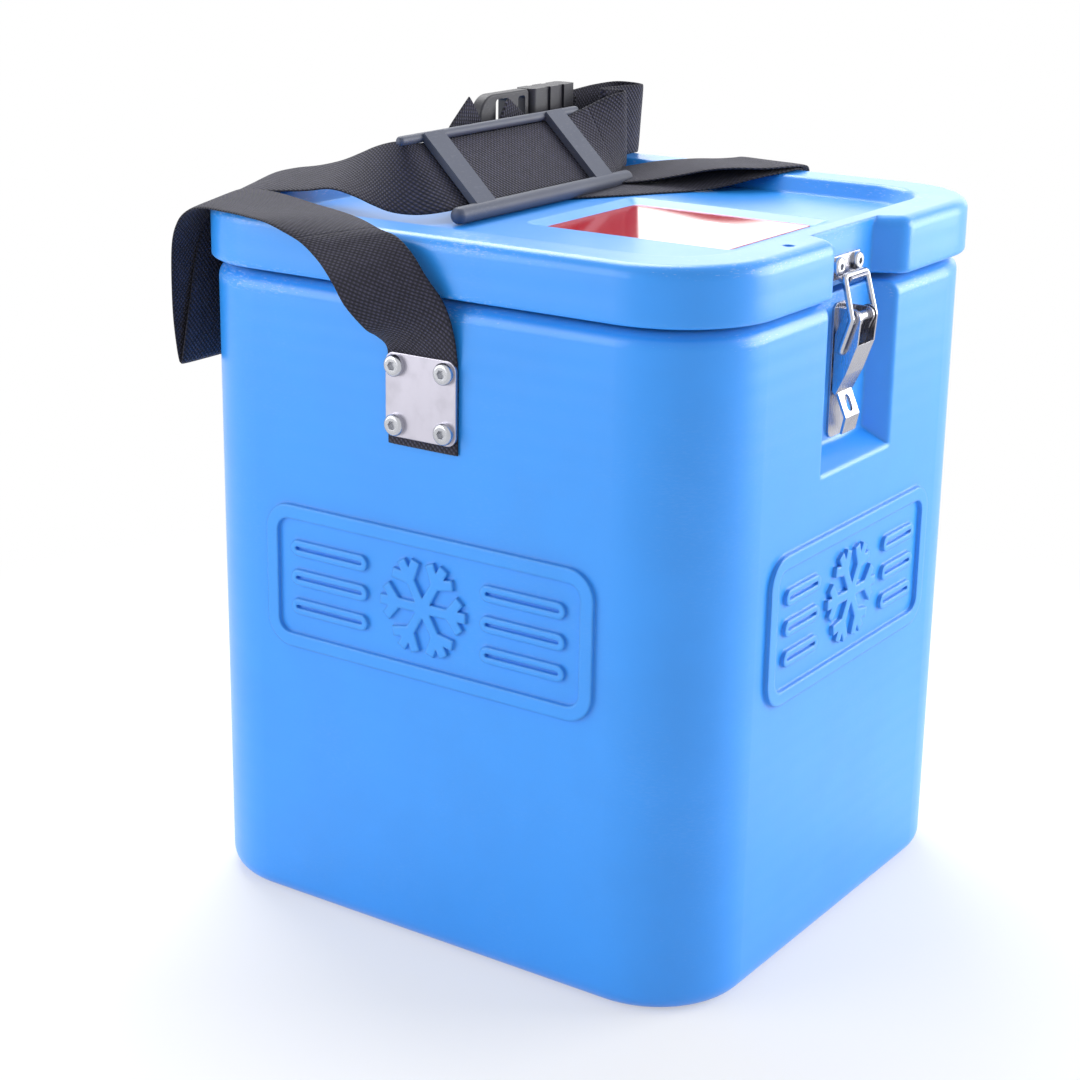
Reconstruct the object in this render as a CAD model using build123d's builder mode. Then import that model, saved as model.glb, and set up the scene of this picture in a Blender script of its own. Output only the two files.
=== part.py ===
from build123d import *
import math
import os

os.makedirs("parts", exist_ok=True)

# Row frame: +Z up, latch face towards -Y, origin on the floor under the middle of the body.

# Body
width = 280.0
depth = 300.0
body_height = 322.0
corner_radius = 48.0
wall = 4.0
foot_radius = 10.0
shoulder_radius = 7.0
foam_gap = 0.2
edge_round = 3.0

# Inner tub and mouth
cavity_width = 196.0
cavity_depth = 200.0
cavity_floor = 58.0
cavity_radius = 16.0
liner_wall = 2.5
liner_flange = 10.0
liner_floor_round = 3.0

# Lid
lid_gap = 3.0
lid_height = 27.0
lid_overhang = 3.0
lid_wall = 4.0
lid_top_round = 6.0
lid_bottom_round = 2.0
dimple_inset = 80.0
dimple_radius = 2.6
dimple_depth = 1.5
rim_width = 24.0
dish_depth = 8.0
dish_slope = 6.0
plug_depth = 55.0
plug_gap = 3.0
plug_taper = 4.0
pan_thickness = 3.0
gasket_width = 8.0
gasket_clearance = 0.2

# Label pocket in the lid
label_width = 84.0
label_length = 100.0
label_thickness = 0.4
label_y = -49.0
pocket_depth = 2.5
pocket_margin = 2.0
pocket_bevel = 6.0

# Latch recess in the body and notch in the lid
recess_depth = 12.0
recess_half_back = 28.5
recess_half_front = 35.5
recess_drop_back = 72.0
recess_drop_front = 81.0
recess_edge_round = 3.0
notch_edge_round = 8.0

# Raised frames and motif on the walls
frame_side_width = 190.0
frame_front_width = 164.0
frame_height = 73.0
frame_bottom = 139.0
frame_band = 7.0
frame_corner = 14.0
frame_rise = 2.0
motif_rise = 1.8
motif_arm = 25.0
motif_stroke = 5.0
motif_branch = 10.0
motif_gap = 8.0
bar_height = 8.0
bar_groove = 1.8
bar_pitch = 15.0

# Strap plates
strap_width = 40.0
strap_thickness = 1.6
plate_size = 40.0
plate_thickness = 1.5
plate_corner = 5.0
plate_drop = 45.0
screw_pitch = 28.0
screw_diameter = 6.0
screw_length = 12.0
head_diameter = 10.5
head_height = 3.3
socket_size = 4.0
insert_diameter = 9.0
insert_length = 12.0
strap_reach = 24.0
strap_bow_drop = 10.0
strap_top_rise = 3.0
strap_bow = 4.0
strap_bend_round = 8.0
hole_clearance = 0.1

# Hinges on the back
hinge_x = 50.0
hinge_length = 60.0
hinge_axis_offset = 8.0
leaf_thickness = 2.0
leaf_gap = 3.0
body_leaf_height = 31.0
lid_leaf_height = 18.0
leaf_to_parting = 1.0
leaf_screw_inset = 12.0
knuckle_radius = 4.5
knuckle_gap = 0.5
hinge_pin_radius = 2.0
pin_clearance = 0.05
hinge_screw_radius = 2.0
hinge_screw_length = 8.0
hinge_screw_pitch = 20.0

# Latch, measured from its pivot pin
pin_stand = 10.0
pin_drop = 14.7
pin_radius = 2.5
ear_radius = 4.2
cheek_radius = 4.6
lever_half = 9.0
sheet = 1.2
ear_half = 6.6
foot_half = 7.0
foot_slot_length = 8.5
foot_slot_width = 5.0
bail_radius = 1.45
bail_half = 11.8
bail_end_y = 3.7
bail_end_z = -15.8
bail_bar_y = 3.7
bail_bar_z = 20.0
base_half = 9.0
base_drop = 58.3
keeper_half = 13.5
keeper_low = 17.7
keeper_high = 28.7
keeper_screw_rise = 24.0
keeper_thickness = 1.5
keeper_screw_pitch = 19.0
latch_screw_radius = 2.0
latch_head_radius = 3.6
latch_head_height = 1.6
latch_screw_length = 8.0
latch_screw_rows = (0.0, -20.0)
keeper_head_radius = 4.4
keeper_head_height = 2.6

# Ice packs
pack_width = 120.0
pack_headroom = 14.7
pack_thickness = 34.0
pack_round = 5.0
pack_seat = 0.3
cap_radius = 12.0
cap_height = 7.0

# Grip frame and buckle on the strap
grip_length = 156.0
grip_low_rail = 8.4
grip_high_rail = 4.8
grip_rail_end = 0.42
grip_clearance = 0.4
grip_bar = 15.5
grip_bar_pitch = 106.0
grip_bar_thickness = 3.6
grip_x = 1.5
grip_y = 47.0
grip_tilt = 44.0
seat_gap = 0.3
buckle_x = 70.0
buckle_y = 77.0
buckle_width = 50.0
socket_length = 40.0
buckle_thickness = 12.0
socket_groove_width = 5.0
socket_groove_depth = 1.2
socket_groove_pitch = 13.0
plug_length = 44.0
plug_thickness = 7.0
plug_corner = 12.0
plug_edge_round = 1.2
plug_rim = 2.8
tongue_length = 24.0
tongue_width = 36.0
tongue_thickness = 5.0
plug_windows = ((-24.4, 12.0), (-7.0, 6.5))

# Loose strap lying on the lid and hanging behind
run_left = -98.0
run_right = 96.0
loop_near_y = 49.0
loop_turn_x = 141.0
loop_round = 10.0
right_run_length = 83.0
right_run_past = 2.0
right_run_ramp = 14.0
right_run_y = 8.0
left_over_corners = ((-9.0, -97.0), (22.0, -105.0), (36.0, -29.0), (0.0, -21.0))
rear_loop_inset = 31.0
rear_loop_spread = 9.0
rear_loop_drop = 63.0
rear_loop_length = 56.0

# Worked out from the sizes above
lid_bottom = body_height + lid_gap
lid_top = lid_bottom + lid_height
lid_width = width + 2 * lid_overhang
lid_depth = depth + 2 * lid_overhang
lid_radius = corner_radius + 2.0
dish_floor = lid_top - dish_depth
lid_void_top = dish_floor - pocket_depth - lid_wall
liner_width = cavity_width + 2 * liner_wall
liner_depth = cavity_depth + 2 * liner_wall
liner_radius = cavity_radius + liner_wall
recess_floor_y = -depth / 2 + recess_depth
hinge_y = depth / 2 + hinge_axis_offset
leaf_y = depth / 2 + leaf_gap
frame_middle = frame_bottom + frame_height / 2
plate_centre_z = body_height - plate_drop
recess_bottom_back = body_height - recess_drop_back
recess_bottom_front = body_height - recess_drop_front
body_leaf_top = body_height - leaf_to_parting
body_leaf_bottom = body_leaf_top - body_leaf_height
body_screw_z = body_leaf_bottom + leaf_screw_inset
lid_leaf_bottom = lid_bottom + lid_gap + leaf_to_parting
lid_leaf_top = lid_leaf_bottom + lid_leaf_height
lid_screw_z = lid_leaf_top - lid_leaf_height / 2
pin_y = recess_floor_y - pin_stand
pin_z = lid_bottom - pin_drop
latch_screw_z = [pin_z + row for row in latch_screw_rows]
keeper_screw_z = pin_z + keeper_screw_rise
pack_height = lid_bottom - plug_depth - cavity_floor - pack_seat - cap_height - pack_headroom
dish_seat = dish_floor + seat_gap
rim_seat = lid_top + seat_gap
grip_opening = strap_width + grip_clearance
grip_low_reach = (grip_opening + grip_low_rail) / 2
grip_high_reach = (grip_opening + grip_high_rail) / 2
grip_rise = math.sin(math.radians(grip_tilt))
grip_run = math.cos(math.radians(grip_tilt))
grip_z = dish_seat + grip_low_rail / 2 + grip_low_reach * grip_rise

front_wall = Plane.XZ.offset(depth / 2)
back_wall = Plane(origin=(0, depth / 2, 0), x_dir=(-1, 0, 0), z_dir=(0, 1, 0))
right_wall = Plane(origin=(width / 2, 0, 0), x_dir=(0, 1, 0), z_dir=(1, 0, 0))
left_wall = Plane(origin=(-width / 2, 0, 0), x_dir=(0, -1, 0), z_dir=(-1, 0, 0))
recess_plane = Plane.XZ.offset(-recess_floor_y)
framed_walls = (
    (left_wall, frame_side_width),
    (right_wall, frame_side_width),
    (front_wall, frame_front_width),
    (back_wall, frame_front_width),
)
leaf_plane = back_wall.offset(leaf_gap)


def save(builder, name):
    builder.part.label = name
    export_step(builder.part, f"parts/{name}.step")


def block(size_x, size_y, radius, bottom, top):
    """A rounded rectangular block between two heights."""
    with BuildPart() as shape:
        with BuildSketch(Plane.XY.offset(bottom)):
            RectangleRounded(size_x, size_y, radius)
        extrude(amount=top - bottom)
    return shape.part


def latch_pocket(grow, bottom_back, bottom_front):
    """The flared pocket that runs up through the front of the body and the lid, grown on its sides."""
    reach = lid_overhang + 4.0
    slope_x = (recess_half_front - recess_half_back) / recess_depth
    slope_z = (bottom_back - bottom_front) / recess_depth
    top = lid_top + 10.0
    with BuildPart() as shape:
        with BuildSketch(recess_plane.offset(-grow)):
            low = bottom_back - grow + grow * slope_z
            half = recess_half_back + grow - grow * slope_x
            with Locations((0, (low + top) / 2)):
                Rectangle(2 * half, top - low)
        with BuildSketch(front_wall.offset(reach)):
            low = bottom_front - grow - reach * slope_z
            half = recess_half_front + grow + reach * slope_x
            with Locations((0, (low + top) / 2)):
                Rectangle(2 * half, top - low)
        loft()
    return shape.part


def mouth_edges(builder, front, low, high):
    """The edges where the latch pocket opens through a front face, between two heights."""
    reach = recess_half_front + lid_overhang
    return (
        builder.edges()
        .filter_by_position(Axis.Y, front - 0.1, front + 0.1)
        .filter_by_position(Axis.X, -reach, reach)
        .filter_by_position(Axis.Z, low, high)
    )


def raised_ring(plane, length):
    """The sketch of a rounded ring on a wall."""
    with BuildSketch(plane) as ring:
        with Locations((0, frame_middle)):
            RectangleRounded(length, frame_height, frame_corner)
            inner = length - 2 * frame_band
            inner_corner = frame_corner - frame_band
            RectangleRounded(inner, frame_height - 2 * frame_band, inner_corner, mode=Mode.SUBTRACT)
    return ring.sketch


def motif(plane, length):
    """The sketch of a snowflake between two stacks of three grooved bars."""
    bar_length = length / 2 - frame_band - motif_arm - 2 * motif_gap
    bar_x = motif_arm + motif_gap + bar_length / 2
    with BuildSketch(plane) as flake:
        with Locations((0, frame_middle)):
            with PolarLocations(0, 3, angular_range=180):
                Rectangle(2 * motif_arm, motif_stroke)
            with PolarLocations(motif_arm * 0.6, 6):
                with Locations((motif_branch / 3, motif_branch * 0.4)):
                    Rectangle(motif_branch, motif_stroke, rotation=50)
                with Locations((motif_branch / 3, -motif_branch * 0.4)):
                    Rectangle(motif_branch, motif_stroke, rotation=-50)
        with Locations((-bar_x, frame_middle), (bar_x, frame_middle)):
            with GridLocations(0, bar_pitch, 1, 3):
                SlotOverall(bar_length, bar_height)
                SlotOverall(bar_length - bar_height + bar_groove, bar_groove, mode=Mode.SUBTRACT)
    return flake.sketch


# ---- Body ----

body_pocket = latch_pocket(0, recess_bottom_back, recess_bottom_front)
body_pocket_grown = latch_pocket(wall, recess_bottom_back, recess_bottom_front)
body_void = block(width - 2 * wall, depth - 2 * wall, corner_radius - wall, wall, body_height - wall)
pad_width = hinge_length + 8.0
pad_height = body_leaf_top - body_leaf_bottom - 2.0
pad_z = (body_leaf_bottom + body_leaf_top) / 2 - 3.0

with BuildPart() as body_void_shape:
    add(body_void)
    add(body_pocket_grown, mode=Mode.SUBTRACT)

with BuildPart() as body_shell:
    add(block(width, depth, corner_radius, 0, body_height))
    fillet(body_shell.faces().sort_by(Axis.Z)[0].edges(), foot_radius)
    fillet(body_shell.faces().sort_by(Axis.Z)[-1].edges(), shoulder_radius)
    add(body_pocket, mode=Mode.SUBTRACT)
    recess_faces = body_shell.faces().filter_by_position(Axis.Y, recess_floor_y - 0.1, recess_floor_y + 0.1)
    fillet(recess_faces.edges().group_by(Axis.Z)[0], edge_round)
    fillet(mouth_edges(body_shell, -depth / 2, recess_bottom_front - 1.0, body_height), recess_edge_round)
    for frame_wall, frame_width in framed_walls:
        extrude(raised_ring(frame_wall, frame_width), amount=frame_rise)
        extrude(motif(frame_wall, frame_width), amount=motif_rise)
    with BuildSketch(back_wall):
        with Locations((-hinge_x, pad_z), (hinge_x, pad_z)):
            RectangleRounded(pad_width, pad_height, edge_round)
    extrude(amount=leaf_gap)
    add(body_void_shape.part, mode=Mode.SUBTRACT)
    with BuildSketch(Plane.XY.offset(body_height)):
        RectangleRounded(liner_width + 2 * foam_gap, liner_depth + 2 * foam_gap, liner_radius)
    extrude(amount=-2 * wall, mode=Mode.SUBTRACT)
    with BuildSketch(Plane.XY.offset(body_height)):
        size_x = liner_width + 2 * (liner_flange + foam_gap)
        size_y = liner_depth + 2 * (liner_flange + foam_gap)
        RectangleRounded(size_x, size_y, liner_radius + liner_flange)
    extrude(amount=-liner_wall, mode=Mode.SUBTRACT)
    for plate_wall in (left_wall, right_wall):
        with BuildSketch(plate_wall):
            with Locations((0, plate_centre_z)):
                with GridLocations(screw_pitch, screw_pitch, 2, 2):
                    Circle(insert_diameter / 2 + hole_clearance)
        extrude(amount=-2 * wall, mode=Mode.SUBTRACT)
    with BuildSketch(leaf_plane):
        for side in (-1, 1):
            with Locations((side * hinge_x, body_screw_z)):
                with GridLocations(hinge_screw_pitch, 0, 3, 1):
                    Circle(hinge_screw_radius + hole_clearance)
    extrude(amount=-2 * wall, mode=Mode.SUBTRACT)
    with BuildSketch(recess_plane):
        for screw_z in latch_screw_z:
            with Locations((0, screw_z)):
                Circle(latch_screw_radius + hole_clearance)
    extrude(amount=-2 * wall, mode=Mode.SUBTRACT)
save(body_shell, "body_shell")

with BuildPart() as body_insulation:
    size_x = width - 2 * (wall + foam_gap)
    size_y = depth - 2 * (wall + foam_gap)
    add(block(size_x, size_y, corner_radius - wall - foam_gap, wall + foam_gap, body_height - wall - foam_gap))
    add(latch_pocket(wall + foam_gap, recess_bottom_back, recess_bottom_front), mode=Mode.SUBTRACT)
    tub_x = liner_width + 2 * foam_gap
    tub_y = liner_depth + 2 * foam_gap
    tub_low = cavity_floor - liner_wall - foam_gap
    add(block(tub_x, tub_y, liner_radius + foam_gap, tub_low, body_height), mode=Mode.SUBTRACT)
    for plate_wall in (left_wall, right_wall):
        with BuildSketch(plate_wall):
            with Locations((0, plate_centre_z)):
                with GridLocations(screw_pitch, screw_pitch, 2, 2):
                    Circle(insert_diameter / 2 + 3 * hole_clearance)
        extrude(amount=-insert_length - 1.0, mode=Mode.SUBTRACT)
    with BuildSketch(leaf_plane):
        for side in (-1, 1):
            with Locations((side * hinge_x, body_screw_z)):
                with GridLocations(hinge_screw_pitch, 0, 3, 1):
                    Circle(hinge_screw_radius + 3 * hole_clearance)
    extrude(amount=-hinge_screw_length - 1.0, mode=Mode.SUBTRACT)
    with BuildSketch(recess_plane):
        for screw_z in latch_screw_z:
            with Locations((0, screw_z)):
                Circle(latch_screw_radius + 3 * hole_clearance)
    extrude(amount=-latch_screw_length - 1.0, mode=Mode.SUBTRACT)
save(body_insulation, "body_insulation")

with BuildPart() as liner_tub:
    add(block(liner_width, liner_depth, liner_radius, cavity_floor - liner_wall, body_height))
    flange_x = liner_width + 2 * liner_flange
    flange_y = liner_depth + 2 * liner_flange
    add(block(flange_x, flange_y, liner_radius + liner_flange, body_height - liner_wall, body_height))
    add(block(cavity_width, cavity_depth, cavity_radius, cavity_floor, body_height), mode=Mode.SUBTRACT)
    floor_edges = liner_tub.edges().filter_by_position(Axis.Z, cavity_floor - 0.1, cavity_floor + 0.1)
    fillet(floor_edges, liner_floor_round)
save(liner_tub, "liner_tub")


# ---- Strap plates, the same on the left and the right ----

def strap_plate(plane, name):
    with BuildPart() as plate:
        with BuildSketch(plane.offset(strap_thickness)):
            with Locations((0, plate_centre_z)):
                RectangleRounded(plate_size, plate_size, plate_corner)
                with GridLocations(screw_pitch, screw_pitch, 2, 2):
                    Circle(screw_diameter / 2 + hole_clearance, mode=Mode.SUBTRACT)
        extrude(amount=plate_thickness)
        fillet(plate.faces().sort_by(Axis(plane.origin, plane.z_dir))[-1].outer_wire().edges(), 0.4)
    save(plate, name)


def plate_screws(plane, name):
    seat = plane.offset(strap_thickness + plate_thickness)
    with BuildPart() as screws:
        with BuildSketch(seat):
            with Locations((0, plate_centre_z)):
                with GridLocations(screw_pitch, screw_pitch, 2, 2):
                    Circle(head_diameter / 2)
        extrude(amount=head_height)
        top_faces = screws.faces().filter_by(GeomType.PLANE).group_by(Axis(plane.origin, plane.z_dir))[-1]
        fillet(top_faces.edges(), 1.8)
        with BuildSketch(seat):
            with Locations((0, plate_centre_z)):
                with GridLocations(screw_pitch, screw_pitch, 2, 2):
                    Circle(screw_diameter / 2)
        extrude(amount=-screw_length)
        with BuildSketch(seat.offset(head_height)):
            with Locations((0, plate_centre_z)):
                with GridLocations(screw_pitch, screw_pitch, 2, 2):
                    RegularPolygon(socket_size / 2, 6, major_radius=False)
        extrude(amount=-2.0, mode=Mode.SUBTRACT)
    save(screws, name)


def plate_inserts(plane, name):
    with BuildPart() as inserts:
        with BuildSketch(plane):
            with Locations((0, plate_centre_z)):
                with GridLocations(screw_pitch, screw_pitch, 2, 2):
                    Circle(insert_diameter / 2)
        extrude(amount=-insert_length)
        with BuildSketch(plane):
            with Locations((0, plate_centre_z)):
                with GridLocations(screw_pitch, screw_pitch, 2, 2):
                    Circle(screw_diameter / 2 + hole_clearance)
        extrude(amount=-(insert_length - 1.0), mode=Mode.SUBTRACT)
    save(inserts, name)


def side_webbing(plane, side, name):
    """The strap under its plate and up past the lid's edge, bowed away from the lid."""
    near = width / 2 + strap_thickness / 2
    far = width / 2 + lid_overhang + strap_bow
    points = [(near, plate_centre_z - strap_reach), (near, plate_centre_z + strap_reach)]
    points += [(far, lid_bottom - strap_bow_drop), (far, lid_bottom + strap_top_rise)]
    with BuildPart() as webbing:
        with BuildSketch(Plane.XZ.offset(-strap_width / 2)):
            with BuildLine():
                FilletPolyline(*[(side * x, z) for x, z in points], radius=strap_bend_round)
            trace(line_width=strap_thickness)
        extrude(amount=strap_width)
        with BuildSketch(plane):
            with Locations((0, plate_centre_z)):
                with GridLocations(screw_pitch, screw_pitch, 2, 2):
                    Circle(screw_diameter / 2 + hole_clearance)
        extrude(amount=2 * strap_thickness, mode=Mode.SUBTRACT)
    save(webbing, name)


for plane, side, label in ((left_wall, -1, "left"), (right_wall, 1, "right")):
    strap_plate(plane, f"{label}_strap_plate")
    plate_screws(plane, f"{label}_plate_screws")
    plate_inserts(plane, f"{label}_plate_inserts")
    side_webbing(plane, side, f"webbing_{label}_side")


# ---- Lid ----

void_x = lid_width - 2 * lid_wall
void_y = lid_depth - 2 * lid_wall

with BuildPart() as lid_void:
    add(block(void_x, void_y, lid_radius - lid_wall, lid_bottom, lid_void_top))
    add(latch_pocket(lid_wall, recess_bottom_back, recess_bottom_front), mode=Mode.SUBTRACT)

with BuildPart() as lid_shell:
    add(block(lid_width, lid_depth, lid_radius, lid_bottom, lid_top))
    add(body_pocket, mode=Mode.SUBTRACT)
    fillet(mouth_edges(lid_shell, -lid_depth / 2, lid_bottom + 1.0, lid_top - 1.0), notch_edge_round)
    for face, size in ((0, lid_bottom_round), (-1, lid_top_round)):
        outline = lid_shell.faces().sort_by(Axis.Z)[face].edges()
        notch_back = outline.filter_by_position(Axis.Y, recess_floor_y - 0.1, recess_floor_y + 0.1)
        fillet([edge for edge in outline if edge not in notch_back], size)
    with BuildSketch(Plane.XY.offset(lid_top)):
        RectangleRounded(lid_width - 2 * rim_width, lid_depth - 2 * rim_width, lid_radius - rim_width + 6.0)
    with BuildSketch(Plane.XY.offset(dish_floor)):
        inset = rim_width + dish_slope
        RectangleRounded(lid_width - 2 * inset, lid_depth - 2 * inset, lid_radius - rim_width)
    loft(mode=Mode.SUBTRACT)
    rim_faces = lid_shell.faces().filter_by_position(Axis.Z, lid_top - 0.1, lid_top + 0.1)
    fillet(rim_faces[0].inner_wires()[0].edges(), edge_round)
    with BuildSketch(Plane.XY.offset(dish_floor)):
        with Locations((0, label_y)):
            outer = pocket_margin + pocket_bevel
            RectangleRounded(label_width + 2 * outer, label_length + 2 * outer, 6.0)
    with BuildSketch(Plane.XY.offset(dish_floor - pocket_depth)):
        with Locations((0, label_y)):
            RectangleRounded(label_width + 2 * pocket_margin, label_length + 2 * pocket_margin, 3.0)
    loft(mode=Mode.SUBTRACT)
    add(lid_void.part, mode=Mode.SUBTRACT)
    with BuildSketch(Plane.XY.offset(lid_top)):
        with Locations((dimple_inset - lid_width / 2, recess_floor_y - 4.0)):
            Circle(dimple_radius)
    extrude(amount=-dimple_depth, mode=Mode.SUBTRACT)
    with BuildSketch(recess_plane):
        with Locations((0, keeper_screw_z)):
            with GridLocations(keeper_screw_pitch, 0, 2, 1):
                Circle(latch_screw_radius + hole_clearance)
    extrude(amount=-2 * lid_wall, mode=Mode.SUBTRACT)
    with BuildSketch(leaf_plane):
        for side in (-1, 1):
            with Locations((side * hinge_x, lid_screw_z)):
                with GridLocations(hinge_screw_pitch, 0, 3, 1):
                    Circle(hinge_screw_radius + hole_clearance)
    extrude(amount=-2 * lid_wall, mode=Mode.SUBTRACT)
save(lid_shell, "lid_shell")

plug_x = cavity_width - 2 * plug_gap
plug_y = cavity_depth - 2 * plug_gap

with BuildPart() as lid_plug:
    pan_x = lid_width - 2 * (lid_wall + foam_gap)
    pan_y = lid_depth - 2 * (lid_wall + foam_gap)
    pan_top = lid_bottom + pan_thickness
    add(block(pan_x, pan_y, lid_radius - lid_wall, lid_bottom, pan_top))
    add(latch_pocket(lid_wall + foam_gap, recess_bottom_back, recess_bottom_front), mode=Mode.SUBTRACT)
    with BuildSketch(Plane.XY.offset(lid_bottom)):
        RectangleRounded(plug_x, plug_y, cavity_radius - plug_gap + 2.0)
    extrude(amount=-plug_depth, taper=plug_taper)
    fillet(lid_plug.faces().sort_by(Axis.Z)[0].edges(), 4.0)
    with BuildSketch(Plane.XY.offset(pan_top)):
        RectangleRounded(plug_x - 2 * liner_wall, plug_y - 2 * liner_wall, cavity_radius - plug_gap)
    extrude(amount=-(plug_depth + pan_thickness - liner_wall), taper=plug_taper, mode=Mode.SUBTRACT)
save(lid_plug, "lid_plug")

with BuildPart() as lid_insulation:
    foam_x = lid_width - 2 * (lid_wall + foam_gap)
    foam_y = lid_depth - 2 * (lid_wall + foam_gap)
    foam_low = lid_bottom + pan_thickness + foam_gap
    add(block(foam_x, foam_y, lid_radius - lid_wall, foam_low, lid_void_top - foam_gap))
    add(latch_pocket(lid_wall + foam_gap, recess_bottom_back, recess_bottom_front), mode=Mode.SUBTRACT)
    with BuildSketch(Plane.XY.offset(foam_low)):
        inset = liner_wall + 2 * foam_gap
        RectangleRounded(plug_x - 2 * inset, plug_y - 2 * inset, cavity_radius - plug_gap - 1.0)
    extrude(amount=-(plug_depth + pan_thickness - liner_wall), taper=plug_taper)
    with BuildSketch(recess_plane):
        with Locations((0, keeper_screw_z)):
            with GridLocations(keeper_screw_pitch, 0, 2, 1):
                Circle(latch_screw_radius + 3 * hole_clearance)
    extrude(amount=-latch_screw_length - 1.0, mode=Mode.SUBTRACT)
    with BuildSketch(leaf_plane):
        for side in (-1, 1):
            with Locations((side * hinge_x, lid_screw_z)):
                with GridLocations(hinge_screw_pitch, 0, 3, 1):
                    Circle(hinge_screw_radius + 3 * hole_clearance)
    extrude(amount=-hinge_screw_length - 1.0, mode=Mode.SUBTRACT)
save(lid_insulation, "lid_insulation")

with BuildPart() as lid_gasket:
    with BuildSketch(Plane.XY.offset(lid_bottom)):
        outer = liner_flange - 1.0 + gasket_width
        RectangleRounded(liner_width + 2 * outer, liner_depth + 2 * outer, liner_radius + outer)
        inner = outer - gasket_width
        RectangleRounded(liner_width + 2 * inner, liner_depth + 2 * inner, liner_radius + inner, mode=Mode.SUBTRACT)
    extrude(amount=-(lid_gap - gasket_clearance))
save(lid_gasket, "lid_gasket")

with BuildPart() as lid_label:
    with BuildSketch(Plane.XY.offset(dish_floor - pocket_depth)):
        with Locations((0, label_y)):
            RectangleRounded(label_width, label_length, 2.0)
    extrude(amount=label_thickness)
save(lid_label, "lid_label")


# ---- Hinges ----

def knuckle_spans(first, count):
    """The x spans of the knuckles that belong to one leaf."""
    pitch = hinge_length / 5
    spans = []
    for index in range(first, first + 2 * count, 2):
        low = -hinge_length / 2 + index * pitch + knuckle_gap / 2
        spans.append((low, low + pitch - knuckle_gap))
    return spans


def hinge_leaf(side, bottom, top, first, count, screw_z, name):
    """One leaf with its knuckles around the hinge axis."""
    with BuildPart() as leaf:
        with BuildSketch(leaf_plane):
            with Locations((-side * hinge_x, (bottom + top) / 2)):
                RectangleRounded(hinge_length, top - bottom, 2.0)
        extrude(amount=leaf_thickness)
        for low, high in knuckle_spans(first, count):
            with BuildSketch(Plane.YZ.offset(side * hinge_x + low)):
                with Locations((hinge_y, lid_bottom)):
                    Circle(knuckle_radius)
                end_z = top - 1.0 if top < lid_bottom else bottom + 1.0
                with Locations((leaf_y + leaf_thickness / 2, (end_z + lid_bottom) / 2)):
                    Rectangle(leaf_thickness, abs(end_z - lid_bottom))
            extrude(amount=high - low)
        with BuildSketch(Plane.YZ.offset(side * hinge_x - hinge_length / 2)):
            with Locations((hinge_y, lid_bottom)):
                Circle(hinge_pin_radius + pin_clearance)
        extrude(amount=hinge_length, mode=Mode.SUBTRACT)
        with BuildSketch(leaf_plane):
            with Locations((-side * hinge_x, screw_z)):
                with GridLocations(hinge_screw_pitch, 0, 3, 1):
                    Circle(hinge_screw_radius + hole_clearance)
        extrude(amount=leaf_thickness, mode=Mode.SUBTRACT)
    save(leaf, name)


def hinge_screws(screw_z, name):
    seat = leaf_plane.offset(leaf_thickness)
    with BuildPart() as screws:
        with BuildSketch(seat):
            for side in (-1, 1):
                with Locations((side * hinge_x, screw_z)):
                    with GridLocations(hinge_screw_pitch, 0, 3, 1):
                        Circle(latch_head_radius)
        extrude(amount=latch_head_height)
        fillet(screws.faces().sort_by(Axis.Y)[-6:].edges(), 0.9)
        with BuildSketch(seat):
            for side in (-1, 1):
                with Locations((side * hinge_x, screw_z)):
                    with GridLocations(hinge_screw_pitch, 0, 3, 1):
                        Circle(hinge_screw_radius)
        extrude(amount=-hinge_screw_length)
    save(screws, name)


for side, label in ((-1, "left"), (1, "right")):
    hinge_leaf(side, body_leaf_bottom, body_leaf_top, 0, 3, body_screw_z, f"{label}_hinge_body_leaf")
    hinge_leaf(side, lid_leaf_bottom, lid_leaf_top, 1, 2, lid_screw_z, f"{label}_hinge_lid_leaf")
    with BuildPart() as hinge_pin:
        with BuildSketch(Plane.YZ.offset(side * hinge_x - hinge_length / 2 - 1.0)):
            with Locations((hinge_y, lid_bottom)):
                Circle(hinge_pin_radius)
        extrude(amount=hinge_length + 2.0)
    save(hinge_pin, f"{label}_hinge_pin")

hinge_screws(body_screw_z, "hinge_body_screws")
hinge_screws(lid_screw_z, "hinge_lid_screws")


# ---- Latch ----

def latch_points(points):
    """Side-view points from the pivot pin, y inwards and z up, as places on Plane.YZ."""
    return [(pin_y + y, pin_z + z) for y, z in points]


def side_plate(points, low, high, mode=Mode.ADD):
    """A closed side-view outline extruded along X between two places."""
    with BuildSketch(Plane.YZ.offset(low)) as outline:
        with BuildLine():
            Polyline(*latch_points(points), close=True)
        make_face()
    extrude(outline.sketch, amount=high - low, mode=mode)


def side_disc(radius, low, high, mode=Mode.ADD, at=(0.0, 0.0)):
    """A disc along X between two places, centred on the pin or on a point measured from it."""
    with BuildSketch(Plane.YZ.offset(low)) as disc:
        with Locations(*latch_points([at])):
            Circle(radius)
    extrude(disc.sketch, amount=high - low, mode=mode)


floor_rel = recess_floor_y - pin_y

with BuildPart() as latch_base:
    with BuildSketch(recess_plane):
        top = pin_z + ear_radius + 2.0
        with Locations((0, (pin_z - base_drop + top) / 2)):
            RectangleRounded(2 * base_half, top - pin_z + base_drop, 4.0)
        for screw_z in latch_screw_z:
            with Locations((0, screw_z)):
                Circle(latch_screw_radius + hole_clearance, mode=Mode.SUBTRACT)
    extrude(amount=sheet)
    for low, high in ((-ear_half, -ear_half + sheet), (ear_half - sheet, ear_half)):
        ear = [(floor_rel, ear_radius), (0, ear_radius), (-ear_radius, 0), (-2.0, -6.0), (floor_rel, -14.0)]
        side_plate(ear, low, high)
        side_disc(ear_radius, low, high)
        side_disc(pin_radius + pin_clearance, low, high, mode=Mode.SUBTRACT)
save(latch_base, "latch_base")

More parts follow.
